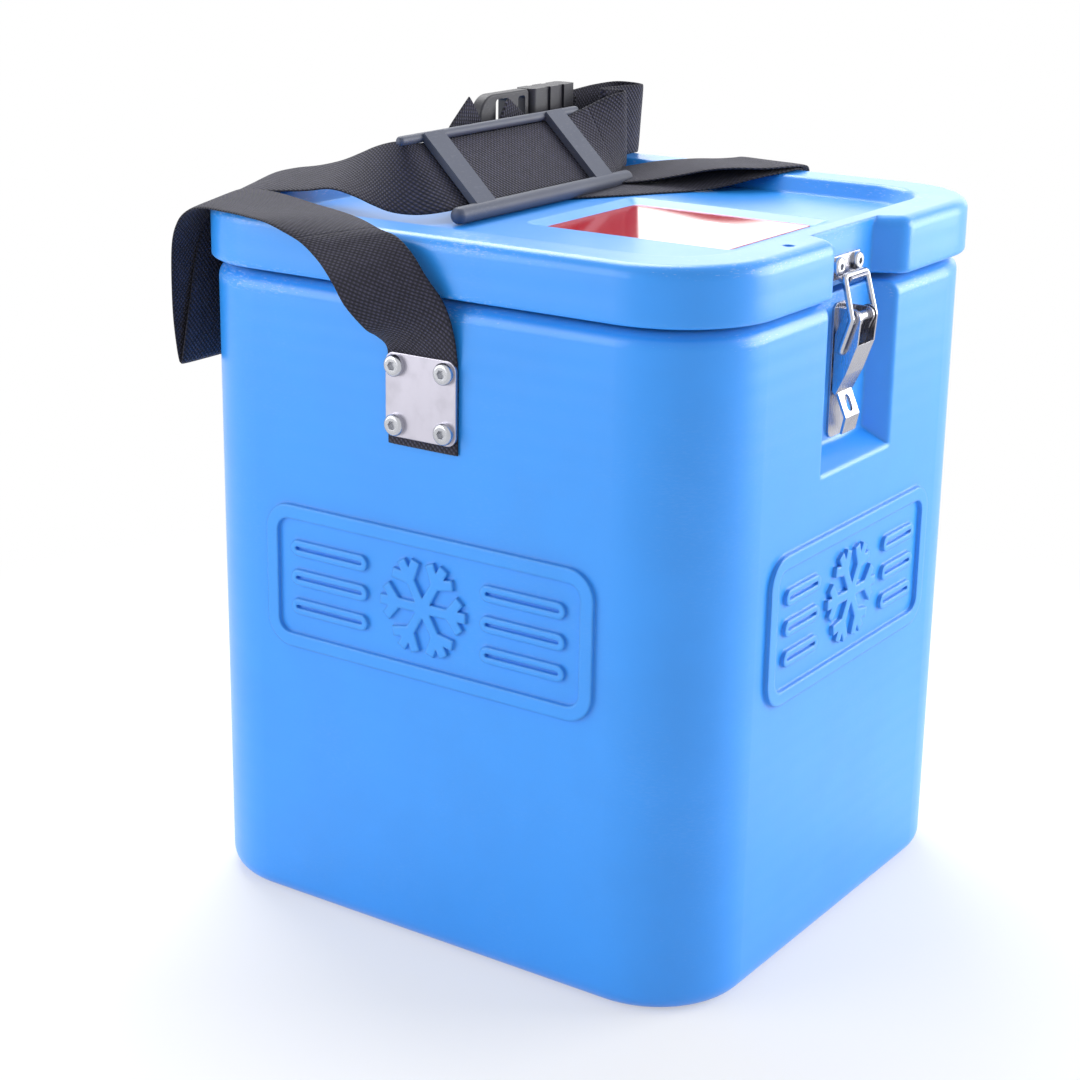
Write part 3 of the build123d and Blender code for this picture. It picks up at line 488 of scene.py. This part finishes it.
def webbing_material(settings):
    """Woven strap with slanting ribs, a tight edge, dusty patches, a painted highlight on the raised
    threads and painted shade in the gaps.
    """
    material, tree, shader, _ = new_material("Webbing", settings.colour, 0.78)
    chart = tree.nodes.new("ShaderNodeUVMap")
    chart.uv_map = "Strap map"
    weave = place_group(
        tree, "Webbing weave", Vector=chart.outputs["UV"], Pitch=settings.weave_pitch, Width=settings.width
    )
    worn = [channel * 1.9 + 0.004 for channel in settings.colour]
    gap_shade_and_edge_colour = [channel * 0.25 for channel in settings.colour]
    dust = noise(tree, chart.outputs["UV"], 160.0, 5.0, 0.7)
    threads = mix_colour(tree, map_range(tree, dust, 0.35, 0.8), settings.colour, worn)
    # Painted highlight: the raised tops of the threads are lightened to 3.2 times the strap colour
    raised_highlight = map_range(tree, weave.outputs["Height"], 0.45, 0.95, 0.0, 0.8)
    threads = mix_colour(tree, raised_highlight, threads, [channel * 3.2 for channel in settings.colour])
    # Painted shade: the gaps between the threads are darkened towards near black
    threads = mix_colour(tree, math_node(tree, "MULTIPLY", weave.outputs["Gap shade"], 0.9), threads, gap_shade_and_edge_colour)
    link(
        tree,
        mix_colour(tree, math_node(tree, "MULTIPLY", weave.outputs["Edge"], 0.5), threads, gap_shade_and_edge_colour),
        shader.inputs["Base Color"],
    )
    bump(tree, shader, weave.outputs["Height"], 0.0006, 0.9)
    shader.inputs["Sheen Weight"].default_value = 0.06
    shader.inputs["Sheen Roughness"].default_value = 0.5
    shader.inputs["Specular IOR Level"].default_value = 0.35
    return material


def steel_material(name, colour, roughness, scale):
    """Stainless steel with a drawn grain and light stains."""
    material, tree, shader, place = new_material(name, colour, roughness, 1.0)
    brush = place_group(tree, "Brushed grain", Vector=place, Scale=scale)
    shade = [channel * 0.86 for channel in colour]
    link(tree, mix_colour(tree, brush.outputs["Stain"], colour, shade), shader.inputs["Base Color"])
    rough = math_node(tree, "MULTIPLY", brush.outputs["Height"], 0.16)
    link(tree, math_node(tree, "ADD", rough, roughness - 0.08), shader.inputs["Roughness"])
    bump(tree, shader, brush.outputs["Height"], 0.00002, 0.2, rounding=0.3 * MM)
    return material


def moulded_material(name, colour, roughness, scale=1200.0, depth=0.00008):
    """Plain moulded plastic with fine grain and rubbed spots."""
    material, tree, shader, place = new_material(name, colour, roughness)
    grain = place_group(tree, "Moulded grain", Vector=place, Scale=scale)
    scuff = place_group(tree, "Scuff marks", Vector=place, Mask=1.0, Amount=0.12)
    pale = [0.25 + 0.75 * channel for channel in colour]
    link(tree, mix_colour(tree, scuff.outputs["Marks"], colour, pale), shader.inputs["Base Color"])
    link(
        tree,
        math_node(
            tree, "ADD", math_node(tree, "MULTIPLY", grain.outputs["Mottle"], 0.15), roughness - 0.07
        ),
        shader.inputs["Roughness"],
    )
    bump(tree, shader, grain.outputs["Height"], depth, 0.6)
    return material


def foam_material():
    """Rigid foam: open cells."""
    material, tree, shader, place = new_material("Rigid foam", (0.80, 0.72, 0.46), 0.95)
    cells = tree.nodes.new("ShaderNodeTexVoronoi")
    link(tree, place, cells.inputs["Vector"])
    cells.inputs["Scale"].default_value = 900.0
    link(
        tree,
        mix_colour(tree, cells.outputs["Distance"], (0.62, 0.54, 0.33), (0.86, 0.79, 0.55)),
        shader.inputs["Base Color"],
    )
    bump(tree, shader, cells.outputs["Distance"], 0.0004)
    return material


def rounded_panel(tree, x, y, middle, half, blur):
    """1 inside a rounded rectangle: the larger of the two distances from its sides, in steps."""
    across = math_node(
        tree, "SUBTRACT", math_node(tree, "ABSOLUTE", math_node(tree, "SUBTRACT", x, middle[0])), half[0]
    )
    up = math_node(
        tree, "SUBTRACT", math_node(tree, "ABSOLUTE", math_node(tree, "SUBTRACT", y, middle[1])), half[1]
    )
    return map_range(tree, math_node(tree, "SMOOTH_MAX", across, up, 4 * MM), 0.0, blur, 1.0, 0.0)


def label_material(settings):
    """Glossy red sheet with a plain white panel."""
    material, tree, shader, place = new_material("Label sheet", settings.label_colour, 0.12)
    x, y, _ = split(tree, place)
    middle = (LABEL_LOW + LABEL_HIGH) / 2
    panel = rounded_panel(tree, x, y, (middle.x + 8 * MM, middle.y - 4 * MM), (12 * MM, 16 * MM), 0.3 * MM)
    fade = noise(tree, place, 40.0, 4.0)
    base = mix_colour(
        tree,
        map_range(tree, fade, 0.3, 0.8, 0.0, 0.35),
        settings.label_colour,
        [0.8 * channel for channel in settings.label_colour],
    )
    link(tree, mix_colour(tree, panel, base, (0.86, 0.86, 0.87)), shader.inputs["Base Color"])
    shader.inputs["Coat Weight"].default_value = 0.8
    shader.inputs["Coat Roughness"].default_value = 0.08
    bump(tree, shader, fade, 0.00006, 0.4)
    return material


# ---- Strap surfaces ----


def smooth_curve(points, first, last, steps):
    """A curve through points, from one of them to another: each stretch is the cubic whose slope at a
    point is half the step between its neighbours."""
    held = np.vstack([2 * points[0] - points[1], points, 2 * points[-1] - points[-2]])
    place = np.linspace(first, last - 1e-9, steps * 4)
    start = place.astype(int)
    t = (place - start)[:, None]
    a, b, c, d = (held[start + k] for k in range(4))
    return 0.5 * (2 * b + (c - a) * t + (2 * a - 5 * b + 4 * c - d) * t**2 + (3 * b - a - 3 * c + d) * t**3)


SECTION_POINTS = 28
EDGE_FLATNESS = 0.45
FACE_FLATNESS = 0.55


def strap_mesh(name, stations, span, settings, steps):
    """A strap carried along its middle line: the section is a flat superellipse that spans the width
    along the across direction and the thickness along the normal. Stations are (x, y, z, across x, y, z)
    in mm, and the span gives the first and last station used, so that two pieces can share one course."""
    curve = smooth_curve(np.array(stations, float), *span, steps)
    reach = np.r_[0, np.cumsum(np.linalg.norm(np.diff(curve[:, :3], axis=0), axis=1))]
    even = np.linspace(0, reach[-1], steps)
    curve = np.stack([np.interp(even, reach, column) for column in curve.T], 1)
    middle = curve[:, :3] * MM
    tangent = np.gradient(middle, axis=0)
    tangent /= np.linalg.norm(tangent, axis=1)[:, None]
    across = curve[:, 3:]
    across /= np.linalg.norm(across, axis=1)[:, None]
    normal = np.cross(tangent, across)
    normal /= np.linalg.norm(normal, axis=1)[:, None]
    angle = np.linspace(0, 2 * math.pi, SECTION_POINTS + 1)[:-1]
    flat = np.sign(np.cos(angle)) * np.abs(np.cos(angle)) ** EDGE_FLATNESS * settings.width / 2
    thick = np.sign(np.sin(angle)) * np.abs(np.sin(angle)) ** FACE_FLATNESS * settings.thickness / 2
    surface = (
        middle[:, None] + flat[None, :, None] * across[:, None] + thick[None, :, None] * normal[:, None]
    )
    rows, columns = surface.shape[:2]
    index = np.arange(rows * columns).reshape(rows, columns)
    beside = np.roll(index, -1, axis=1)
    quads = np.stack([index[:-1], beside[:-1], beside[1:], index[1:]], -1).reshape(-1, 4)
    faces = quads.tolist() + [index[0][::-1].tolist(), index[-1].tolist()]
    mesh = bpy.data.meshes.new(name)
    mesh.from_pydata(surface.reshape(-1, 3).tolist(), [], faces)
    chart = mesh.uv_layers.new(name="Strap map")
    corners = np.zeros(len(mesh.loops), int)
    mesh.loops.foreach_get("vertex_index", corners)
    along = even * MM
    spots = np.stack([np.tile(flat, rows), np.repeat(along, columns)], 1)
    chart.data.foreach_set("uv", spots[corners].astype(np.float32).ravel())
    mesh.polygons.foreach_set("use_smooth", np.ones(len(mesh.polygons), bool))
    mesh.validate()
    piece = bpy.data.objects.new(name, mesh)
    bpy.context.scene.collection.objects.link(piece)
    fix_normals(piece)
    return piece


def fix_normals(piece):
    """Turns every face of a closed mesh outwards: the signed volume tells which way they lie."""
    mesh = piece.data
    places = np.zeros(len(mesh.vertices) * 3)
    mesh.vertices.foreach_get("co", places)
    places = places.reshape(-1, 3)
    mesh.calc_loop_triangles()
    corners = np.zeros(len(mesh.loop_triangles) * 3, int)
    mesh.loop_triangles.foreach_get("vertices", corners)
    a, b, c = (places[corners.reshape(-1, 3)[:, k]] for k in range(3))
    if (np.cross(a, b) * c).sum() < 0:
        mesh.flip_normals()


# Stations of each strap course: x, y, z of its middle line in mm, then the direction across it.
LEFT_COURSE = (
    (-140.9, 0, 253, 0, -1, 0),
    (-140.9, 0, 272, 0, -1, 0),
    (-140.9, 0, 290, 0, -1, 0),
    (-142.0, 0, 299, 0, -1, 0),
    (-146.6, 0.4, 307.8, 0.15, -0.98, 0.14),
    (-153.6, 1.4, 317.6, 0.32, -0.88, 0.35),
    (-158.2, 8.0, 328.4, 0.42, -0.83, 0.36),
    (-158.0, 15.6, 338.0, 0.40, -0.85, 0.33),
    (-155.4, 26.4, 345.4, 0.34, -0.89, 0.30),
    (-152.4, 40.0, 349.8, 0.34, -0.92, 0.18),
    (-143.8, 62.4, 352.7, 0.70, -0.71, 0.06),
    (-135.4, 86.0, 353.1, 0.93, -0.36, 0.04),
    (-127.0, 111.5, 353.2, 0.96, -0.24, 0.08),
    (-122.8, 128.2, 352.8, 0.98, -0.11, 0.10),
    (-121.6, 141.6, 350.8, 0.99, 0.05, 0.12),
    (-120.4, 151.6, 343.4, 0.99, 0.12, 0.09),
    (-117.4, 157.6, 327.8, 1, 0.07, 0),
    (-114.6, 159.8, 299.0, 1, 0.01, 0),
    (-112.4, 160.0, 279.0, 1, 0, 0),
    (-111.2, 158.6, 268.6, 1, 0, 0),
    (-110.2, 156.8, 279.0, 1, 0, 0),
    (-105.6, 156.4, 300.0, 1, 0, 0),
    (-98.6, 156.8, 328.0, 0.99, 0.03, 0),
    (-91.6, 155.6, 344.2, 0.99, 0.11, 0.08),
    (-87.1, 151.9, 351.2, 0.97, 0.22, 0.07),
    (-81.6, 144.0, 354.6, 0.92, 0.38, 0.09),
    (-78.1, 131.4, 356.6, 0.88, 0.45, 0.14),
    (-76.4, 116.8, 358.6, 0.86, 0.49, 0.16),
    (-76.0, 102.0, 361.6, 0.84, 0.50, 0.20),
    (-76.8, 88.4, 363.0, 0.76, 0.50, 0.38),
    (-78.2, 76.6, 363.8, 0.66, 0.46, 0.59),
    (-79.2, 65.8, 364.2, 0.52, 0.42, 0.74),
    (-77.0, 56.4, 364.4, 0.33, 0.50, 0.80),
    (-68.0, 49.8, 364.5, 0.10, 0.66, 0.74),
    (-52.0, 48.0, 364.5, 0, 0.715, 0.70),
    (-20.0, 47.9, 364.5, 0, 0.719, 0.695),
    (30.0, 47.9, 364.5, 0, 0.719, 0.695),
    (62.0, 48.0, 364.6, 0, 0.70, 0.71),
    (82.0, 48.6, 366.0, 0, 0.52, 0.85),
    (97.0, 49.2, 368.6, 0.01, 0.22, 0.97),
    (105.0, 49.4, 369.4, -0.02, 0.06, 1),
    (109.6, 51.0, 369.8, -0.05, 0, 1),
    (109.0, 53.6, 370.4, -0.05, 0, 1),
    (103.0, 55.2, 371.0, 0, 0, 1),
    (97.5, 56.8, 371.4, 0, 0, 1),
    (96.5, 59.0, 371.6, 0, 0, 1),
    (101.0, 60.6, 371.6, 0, -0.04, 1),
    (116.0, 60.0, 371.6, 0, -0.12, 0.99),
    (131.0, 58.8, 371.4, -0.08, -0.20, 0.98),
    (139.4, 60.4, 371.2, -0.18, -0.16, 0.98),
    (141.0, 66.4, 371.2, -0.16, -0.06, 0.98),
    (134.0, 73.4, 371.2, -0.06, 0, 1),
    (116.0, 76.6, 370.6, 0, 0, 1),
    (98.0, 77.0, 369.6, 0, 0, 1),
    (89.0, 77.0, 369.3, 0, 0, 1),
)
RIM_STATION = 9
FRAME_STATION = 38
END_STATION = len(LEFT_COURSE) - 1

TAIL = (
    (6.5, 72.6, 379.6, -0.61, 0, 0.79),
    (-2.0, 72.4, 373.2, -0.61, 0, 0.79),
    (-10.4, 72.0, 366.8, -0.61, 0, 0.79),
    (-18.4, 71.0, 361.4, -0.60, -0.05, 0.79),
)
TAIL_TIP = (
    (14.8, 70.6, 375.8, 0.564, 0, 0.826),
    (24.0, 70.4, 369.5, 0.564, 0, 0.826),
    (33.0, 70.0, 363.2, 0.564, 0, 0.826),
)

RIGHT_RUN = (
    (32.9, 43.9, 345.4, 0.52, 0.85, 0.02),
    (53.3, 31.4, 345.5, 0.55, 0.83, 0.04),
    (76.0, 18.6, 346.1, 0.56, 0.82, 0.08),
    (93.0, 6.6, 347.6, 0.52, 0.84, 0.14),
    (104.5, -4.6, 350.0, 0.50, 0.85, 0.15),
    (115.0, -15.0, 352.2, 0.48, 0.87, 0.08),
    (128.0, -21.5, 353.0, 0.34, 0.94, 0.02),
    (141.0, -21.5, 352.2, 0.10, 0.99, -0.02),
    (149.4, -17.5, 344.0, 0, 0.98, -0.14),
    (151.2, -12.0, 329.0, 0, 0.97, -0.22),
    (148.0, -6.0, 313.0, 0, 0.98, -0.18),
    (142.4, -1.4, 301.0, 0, 0.99, -0.06),
    (140.9, 0, 290, 0, 1, 0),
    (140.9, 0, 272, 0, 1, 0),
    (140.9, 0, 253, 0, 1, 0),
)

RIGHT_FOLD = (
    (72.0, 52.0, 346.6, 0.74, 0.67, 0.02),
    (80.0, 41.0, 347.6, 0.74, 0.67, 0.02),
    (88.0, 28.0, 349.8, 0.70, 0.70, 0.05),
    (96.5, 13.8, 352.8, 0.66, 0.75, 0.04),
    (105.0, 0, 355.0, 0.72, 0.69, 0),
    (112.4, -11.0, 355.6, 0.72, 0.69, -0.02),
    (122.0, -19.0, 355.4, 0.56, 0.83, 0),
    (134.0, -23.6, 355.2, 0.32, 0.95, 0),
    (144.4, -23.6, 353.2, 0.10, 0.99, -0.03),
    (151.6, -20.6, 345.6, 0, 0.99, -0.12),
)


TACK_SHARE = 0.82
TACK_DEPTH_MM = 4
THREAD_RADIUS_MM = 0.32


def bar_tack(name, middle, across, along, normal, settings, body):
    """A short block of zigzag stitching: a triangle wave across the strap, drawn as a thin round thread."""
    turns, sides = 15, 6
    count = turns * 2 + 1
    place = np.linspace(-0.5, 0.5, count)
    side = np.where(np.arange(count) % 2, 0.5, -0.5)
    centre = (
        np.array(middle)[None]
        + place[:, None] * np.array(across)[None] * settings.width * TACK_SHARE
        + side[:, None] * np.array(along)[None] * TACK_DEPTH_MM * MM
    )
    direction = np.gradient(centre, axis=0)
    direction /= np.linalg.norm(direction, axis=1)[:, None]
    up = np.array(normal, float)[None] + 0 * direction
    beside = np.cross(direction, up)
    angle = np.linspace(0, 2 * math.pi, sides + 1)[:-1]
    ring = np.cos(angle)[None, :, None] * beside[:, None] + np.sin(angle)[None, :, None] * up[:, None]
    surface = centre[:, None] + ring * THREAD_RADIUS_MM * MM
    index = np.arange(count * sides).reshape(count, sides)
    shifted = np.roll(index, -1, axis=1)
    quads = np.stack([index[:-1], index[1:], shifted[1:], shifted[:-1]], -1).reshape(-1, 4)
    faces = quads.tolist() + [index[0].tolist(), index[-1][::-1].tolist()]
    mesh = bpy.data.meshes.new(name)
    mesh.from_pydata(surface.reshape(-1, 3).tolist(), [], faces)
    mesh.polygons.foreach_set("use_smooth", np.ones(len(mesh.polygons), bool))
    piece = bpy.data.objects.new(name, mesh)
    bpy.context.scene.collection.objects.link(piece)
    fix_normals(piece)
    piece.data.materials.append(thread_material())
    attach(piece, body)
    return piece


def thread_material():
    """Sewing thread with a fine twist."""
    known = bpy.data.materials.get("Sewing thread")
    if known:
        return known
    material, tree, shader, place = new_material("Sewing thread", (0.05, 0.05, 0.055), 0.6)
    twist = noise(tree, place, 2500.0, 2.0)
    bump(tree, shader, twist, 0.0002)
    return material


def strap_piece(name, stations, span, settings, steps):
    """A finished strap with the webbing material."""
    piece = strap_mesh(name, stations, span, settings, steps)
    known = bpy.data.materials.get("Webbing") or webbing_material(settings)
    piece.data.materials.append(known)
    return piece


# ---- Operators ----


class CARRIER_OT_shell(bpy.types.Operator):
    """Gives the body and the lid their blue moulded finish"""

    bl_idname = "carrier.shell"
    bl_label = "Finish Shells"

    def execute(self, context):
        dress(("body_shell", "lid_shell"), shell_plastic(context.scene.carrier_shell))
        return {"FINISHED"}


class CARRIER_OT_inside(bpy.types.Operator):
    """Finishes the tub, the plug, the foam, the gasket and the ice packs"""

    bl_idname = "carrier.inside"
    bl_label = "Finish Inside"

    def execute(self, context):
        dress(("liner_tub", "lid_plug"), moulded_material("Liner plastic", (0.80, 0.81, 0.81), 0.38))
        dress(("body_insulation", "lid_insulation"), foam_material())
        dress(("lid_gasket",), moulded_material("Gasket rubber", (0.03, 0.03, 0.032), 0.75))
        packs = [f"ice_pack_{side}" for side in ("front", "back", "left", "right")]
        pale = moulded_material("Ice pack plastic", (0.62, 0.74, 0.84), 0.3)
        pale.node_tree.nodes["Principled BSDF"].inputs["Subsurface Weight"].default_value = 0.15
        pale.node_tree.nodes["Principled BSDF"].inputs["Subsurface Scale"].default_value = 0.01
        dress(packs, pale)
        dress(("ice_pack_caps",), moulded_material("Cap plastic", (0.03, 0.16, 0.60), 0.4))
        dress(
            ("left_plate_inserts", "right_plate_inserts"),
            steel_material("Insert brass", (0.78, 0.60, 0.28), 0.35, 50),
        )
        return {"FINISHED"}


class CARRIER_OT_metal(bpy.types.Operator):
    """Finishes the strap plates, the latch, the hinges and all screws"""

    bl_idname = "carrier.metal"
    bl_label = "Finish Metal"

    def execute(self, context):
        fittings = context.scene.carrier_fittings
        plates = ["left_strap_plate", "right_strap_plate"]
        leaves = [f"{side}_hinge_{part}_leaf" for side in ("left", "right") for part in ("body", "lid")]
        dress(plates, steel_material("Plate steel", fittings.steel_colour, 0.36, 30))
        dress(leaves, steel_material("Hinge steel", fittings.steel_colour, 0.34, 60))
        dress(
            ("latch_base", "latch_lever", "latch_keeper"),
            steel_material("Latch steel", (0.47, 0.465, 0.51), 0.26, 80),
        )
        small = ["left_plate_screws", "right_plate_screws", "hinge_body_screws", "hinge_lid_screws"]
        small += [
            "latch_base_screws", "keeper_screws", "latch_pivot_pin", "left_hinge_pin", "right_hinge_pin"
        ]
        dress(small + ["latch_bail"], steel_material("Screw steel", (0.52, 0.53, 0.57), 0.24, 120))
        return {"FINISHED"}


class CARRIER_OT_label(bpy.types.Operator):
    """Prints the plain red and white label on the lid"""

    bl_idname = "carrier.label"
    bl_label = "Finish Label"

    def execute(self, context):
        dress(("lid_label",), label_material(context.scene.carrier_fittings))
        return {"FINISHED"}


class CARRIER_OT_fittings(bpy.types.Operator):
    """Finishes the grip frame and the buckle"""

    bl_idname = "carrier.fittings"
    bl_label = "Finish Strap Fittings"

    def execute(self, context):
        fittings = context.scene.carrier_fittings
        dress(("grip_frame",), moulded_material("Grip plastic", fittings.grip_colour, 0.52, 1500.0, 0.0001))
        dress(
            ("buckle_socket", "buckle_plug"),
            moulded_material("Buckle plastic", (0.020, 0.020, 0.028), 0.55),
        )
        return {"FINISHED"}


class CARRIER_OT_strap_left(bpy.types.Operator):
    """Makes the strap that rises from the left plate to the lid's rim"""

    bl_idname = "carrier.strap_left"
    bl_label = "Left Strap"

    def execute(self, context):
        piece = strap_piece(
            "strap_left_side", LEFT_COURSE, (0, RIM_STATION), context.scene.carrier_strap, steps=80
        )
        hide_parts("webbing_left_side")
        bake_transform(piece)
        return {"FINISHED"}


class CARRIER_OT_strap_over(bpy.types.Operator):
    """Makes the strap that crosses the rim, hangs in a loop behind, and runs through the grip frame"""

    bl_idname = "carrier.strap_over"
    bl_label = "Strap Over Lid"

    def execute(self, context):
        span = (RIM_STATION, FRAME_STATION)
        piece = strap_piece("strap_over_lid", LEFT_COURSE, span, context.scene.carrier_strap, steps=420)
        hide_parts("webbing_left_over", "webbing_rear_loop", "webbing_grip_run")
        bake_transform(piece)
        return {"FINISHED"}


class CARRIER_OT_strap_end(bpy.types.Operator):
    """Makes the loop beyond the grip frame, and the tail and its tip at the buckle"""

    bl_idname = "carrier.strap_end"
    bl_label = "Strap End"

    def execute(self, context):
        settings = context.scene.carrier_strap
        loop = strap_piece("strap_end_loop", LEFT_COURSE, (FRAME_STATION, END_STATION), settings, steps=130)
        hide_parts("webbing_end_loop")
        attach(loop, "lid")
        tail = strap_piece("strap_tail", TAIL, (0, len(TAIL) - 1), settings, steps=110)
        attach(tail, "lid")
        tip = strap_piece("strap_tail_tip", TAIL_TIP, (0, len(TAIL_TIP) - 1), settings, steps=50)
        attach(tip, "lid")
        bar_tack(
            "strap_end_stitches", (0.097, 0.0760, 0.3698), (0, 0, 1), (1, 0, 0), (0, -1, 0), settings, "lid"
        )
        return {"FINISHED"}


class CARRIER_OT_strap_right(bpy.types.Operator):
    """Makes the strap that lies across the right rim and goes down to the right plate"""

    bl_idname = "carrier.strap_right"
    bl_label = "Right Strap"

    def execute(self, context):
        strap = context.scene.carrier_strap
        layer = strap_piece("strap_right_fold", RIGHT_FOLD, (0, len(RIGHT_FOLD) - 1), strap, steps=70)
        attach(layer, "lid")
        piece = strap_piece("strap_right_side", RIGHT_RUN, (0, len(RIGHT_RUN) - 1), strap, steps=170)
        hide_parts("webbing_right_run", "webbing_right_side")
        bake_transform(piece)
        return {"FINISHED"}


def aim(lamp, target):
    """Turns a lamp or camera so that it looks at a point."""
    direction = Vector(target) - lamp.location
    lamp.rotation_euler = direction.to_track_quat("-Z", "Y").to_euler()


LIGHT_TARGET = (0, 0, 0.18)


def soft_light(name, location, size, power, colour=(1, 1, 1)):
    """A square area lamp aimed at the middle of the carrier."""
    data = bpy.data.lights.new(name, "AREA")
    data.shape = "SQUARE"
    data.size = size
    data.energy = power
    data.color = colour
    lamp = bpy.data.objects.new(name, data)
    bpy.context.scene.collection.objects.link(lamp)
    lamp.location = location
    aim(lamp, LIGHT_TARGET)
    return lamp


AMBIENT = 0.58
CLEAR_FLOOR = (0.24, 0.62)
CLEAR_NEAR = 0.45


def seen_directly(tree):
    """1 for camera, glossy and transmission rays, and 0 for the light that falls on the object."""
    path = tree.nodes.new("ShaderNodeLightPath")
    either = math_node(
        tree, "ADD", path.outputs["Is Camera Ray"], path.outputs["Is Transmission Ray"], clamp=True
    )
    return math_node(tree, "ADD", either, path.outputs["Is Glossy Ray"], clamp=True)


def stage_floor(colour):
    """A wide flat floor that takes the shadow near the object and is plain white to the eye farther out."""
    reach = 6.0
    mesh = bpy.data.meshes.new("Floor")
    mesh.from_pydata(
        [(-reach, -reach, 0), (reach, -reach, 0), (reach, reach, 0), (-reach, reach, 0)], [], [(0, 1, 2, 3)]
    )
    floor = bpy.data.objects.new("Floor", mesh)
    bpy.context.scene.collection.objects.link(floor)
    material, tree, shader, place = new_material("Floor paper", colour, 0.9)
    bump(tree, shader, noise(tree, place, 300.0, 3.0), 0.0001, 0.1)
    away = tree.nodes.new("ShaderNodeVectorMath")
    away.operation = "LENGTH"
    tree.links.new(place, away.inputs[0])
    clear = map_range(tree, away.outputs["Value"], CLEAR_FLOOR[0], CLEAR_FLOOR[1], CLEAR_NEAR, 1.0)
    glow = tree.nodes.new("ShaderNodeEmission")
    blend = tree.nodes.new("ShaderNodeMixShader")
    link(tree, math_node(tree, "MULTIPLY", clear, seen_directly(tree)), blend.inputs["Fac"])
    tree.links.new(shader.outputs["BSDF"], blend.inputs[1])
    tree.links.new(glow.outputs["Emission"], blend.inputs[2])
    tree.links.new(blend.outputs["Shader"], tree.nodes["Material Output"].inputs["Surface"])
    mesh.materials.append(material)


def stage_world():
    """White to the camera and to gloss, and a plain soft light for everything else."""
    world = bpy.data.worlds.new("Studio")
    bpy.context.scene.world = world
    world.use_nodes = True
    tree = world.node_tree
    background = tree.nodes["Background"]
    strength = math_node(tree, "MULTIPLY_ADD", seen_directly(tree), 1.0 - AMBIENT, AMBIENT)
    background.inputs["Color"].default_value = (1, 1, 1, 1)
    tree.links.new(strength, background.inputs["Strength"])


CAMERA_PLACE = (-0.9354, -0.5987, 0.5307)
CAMERA_AZIMUTH = -54.93
CAMERA_ELEVATION = 17.18
CAMERA_ROLL = 0.52
CAMERA_LENS = 74.94
CAMERA_SHIFT = (0.0413, -0.0264)


def stage_camera():
    """The camera: its back direction from azimuth and elevation, its up direction level, then rolled."""
    data = bpy.data.cameras.new("Camera")
    data.sensor_width = 36.0
    data.lens = CAMERA_LENS
    data.shift_x, data.shift_y = CAMERA_SHIFT
    camera = bpy.data.objects.new("Camera", data)
    bpy.context.scene.collection.objects.link(camera)
    azimuth, elevation, roll = (math.radians(v) for v in (CAMERA_AZIMUTH, CAMERA_ELEVATION, CAMERA_ROLL))
    level = math.cos(elevation)
    back = Vector((math.sin(azimuth) * level, -math.cos(azimuth) * level, math.sin(elevation)))
    right = Vector((0, 0, 1)).cross(back).normalized()
    up = back.cross(right)
    turned_right = math.cos(roll) * right + math.sin(roll) * up
    turned_up = back.cross(turned_right)
    rotation = Matrix((turned_right, turned_up, back)).transposed().to_4x4()
    camera.matrix_world = Matrix.Translation(CAMERA_PLACE) @ rotation
    bpy.context.scene.camera = camera


class CARRIER_OT_stage(bpy.types.Operator):
    """Sets the floor, the soft lights, the background and the camera"""

    bl_idname = "carrier.stage"
    bl_label = "Set Stage"

    def execute(self, context):
        stage = context.scene.carrier_stage
        stage_floor(stage.floor_colour)
        stage_world()
        soft_light("Right light", (1.25, -1.3, 0.65), 1.3, stage.right_power)
        soft_light("Back light", (1.815, 0.43, 0.86), 1.3, stage.back_power)
        soft_light("Left light", (-1.45, 1.15, 0.7), 1.3, stage.left_power)
        soft_light("Top light", (0.7, 0.9, 1.75), 1.2, stage.top_power)
        stage_camera()
        context.scene.view_settings.view_transform = "Standard"
        return {"FINISHED"}


class CARRIER_PT_panel(bpy.types.Panel):
    """Lists the carrier's settings and steps"""

    bl_idname = "CARRIER_PT_panel"
    bl_label = "Vaccine Carrier"
    bl_space_type = "VIEW_3D"
    bl_region_type = "UI"
    bl_category = "Carrier"

    def draw(self, context):
        for group in (
            context.scene.carrier_shell,
            context.scene.carrier_strap,
            context.scene.carrier_fittings,
            context.scene.carrier_stage,
        ):
            box = self.layout.box()
            for name in group.__annotations__:
                box.prop(group, name)
        for operator in STEPS:
            self.layout.operator(operator.bl_idname)


STEPS = (
    CARRIER_OT_shell,
    CARRIER_OT_inside,
    CARRIER_OT_metal,
    CARRIER_OT_label,
    CARRIER_OT_fittings,
    CARRIER_OT_strap_left,
    CARRIER_OT_strap_over,
    CARRIER_OT_strap_end,
    CARRIER_OT_strap_right,
    CARRIER_OT_stage,
)
SETTINGS = {
    "carrier_shell": CarrierShellSettings,
    "carrier_strap": CarrierStrapSettings,
    "carrier_fittings": CarrierFittingSettings,
    "carrier_stage": CarrierStageSettings,
}


def register():
    """Registers the settings, the steps and the panel."""
    for name, group in SETTINGS.items():
        bpy.utils.register_class(group)
        setattr(bpy.types.Scene, name, PointerProperty(type=group))
    for item in (*STEPS, CARRIER_PT_panel):
        bpy.utils.register_class(item)


def unregister():
    """Removes what register added."""
    for item in reversed((*STEPS, CARRIER_PT_panel)):
        bpy.utils.unregister_class(item)
    for name, group in SETTINGS.items():
        delattr(bpy.types.Scene, name)
        bpy.utils.unregister_class(group)


def main():
    """Runs every step in order."""
    register()
    for step in STEPS:
        family, name = step.bl_idname.split(".")
        getattr(getattr(bpy.ops, family), name)()


if __name__ == "__main__":
    main()
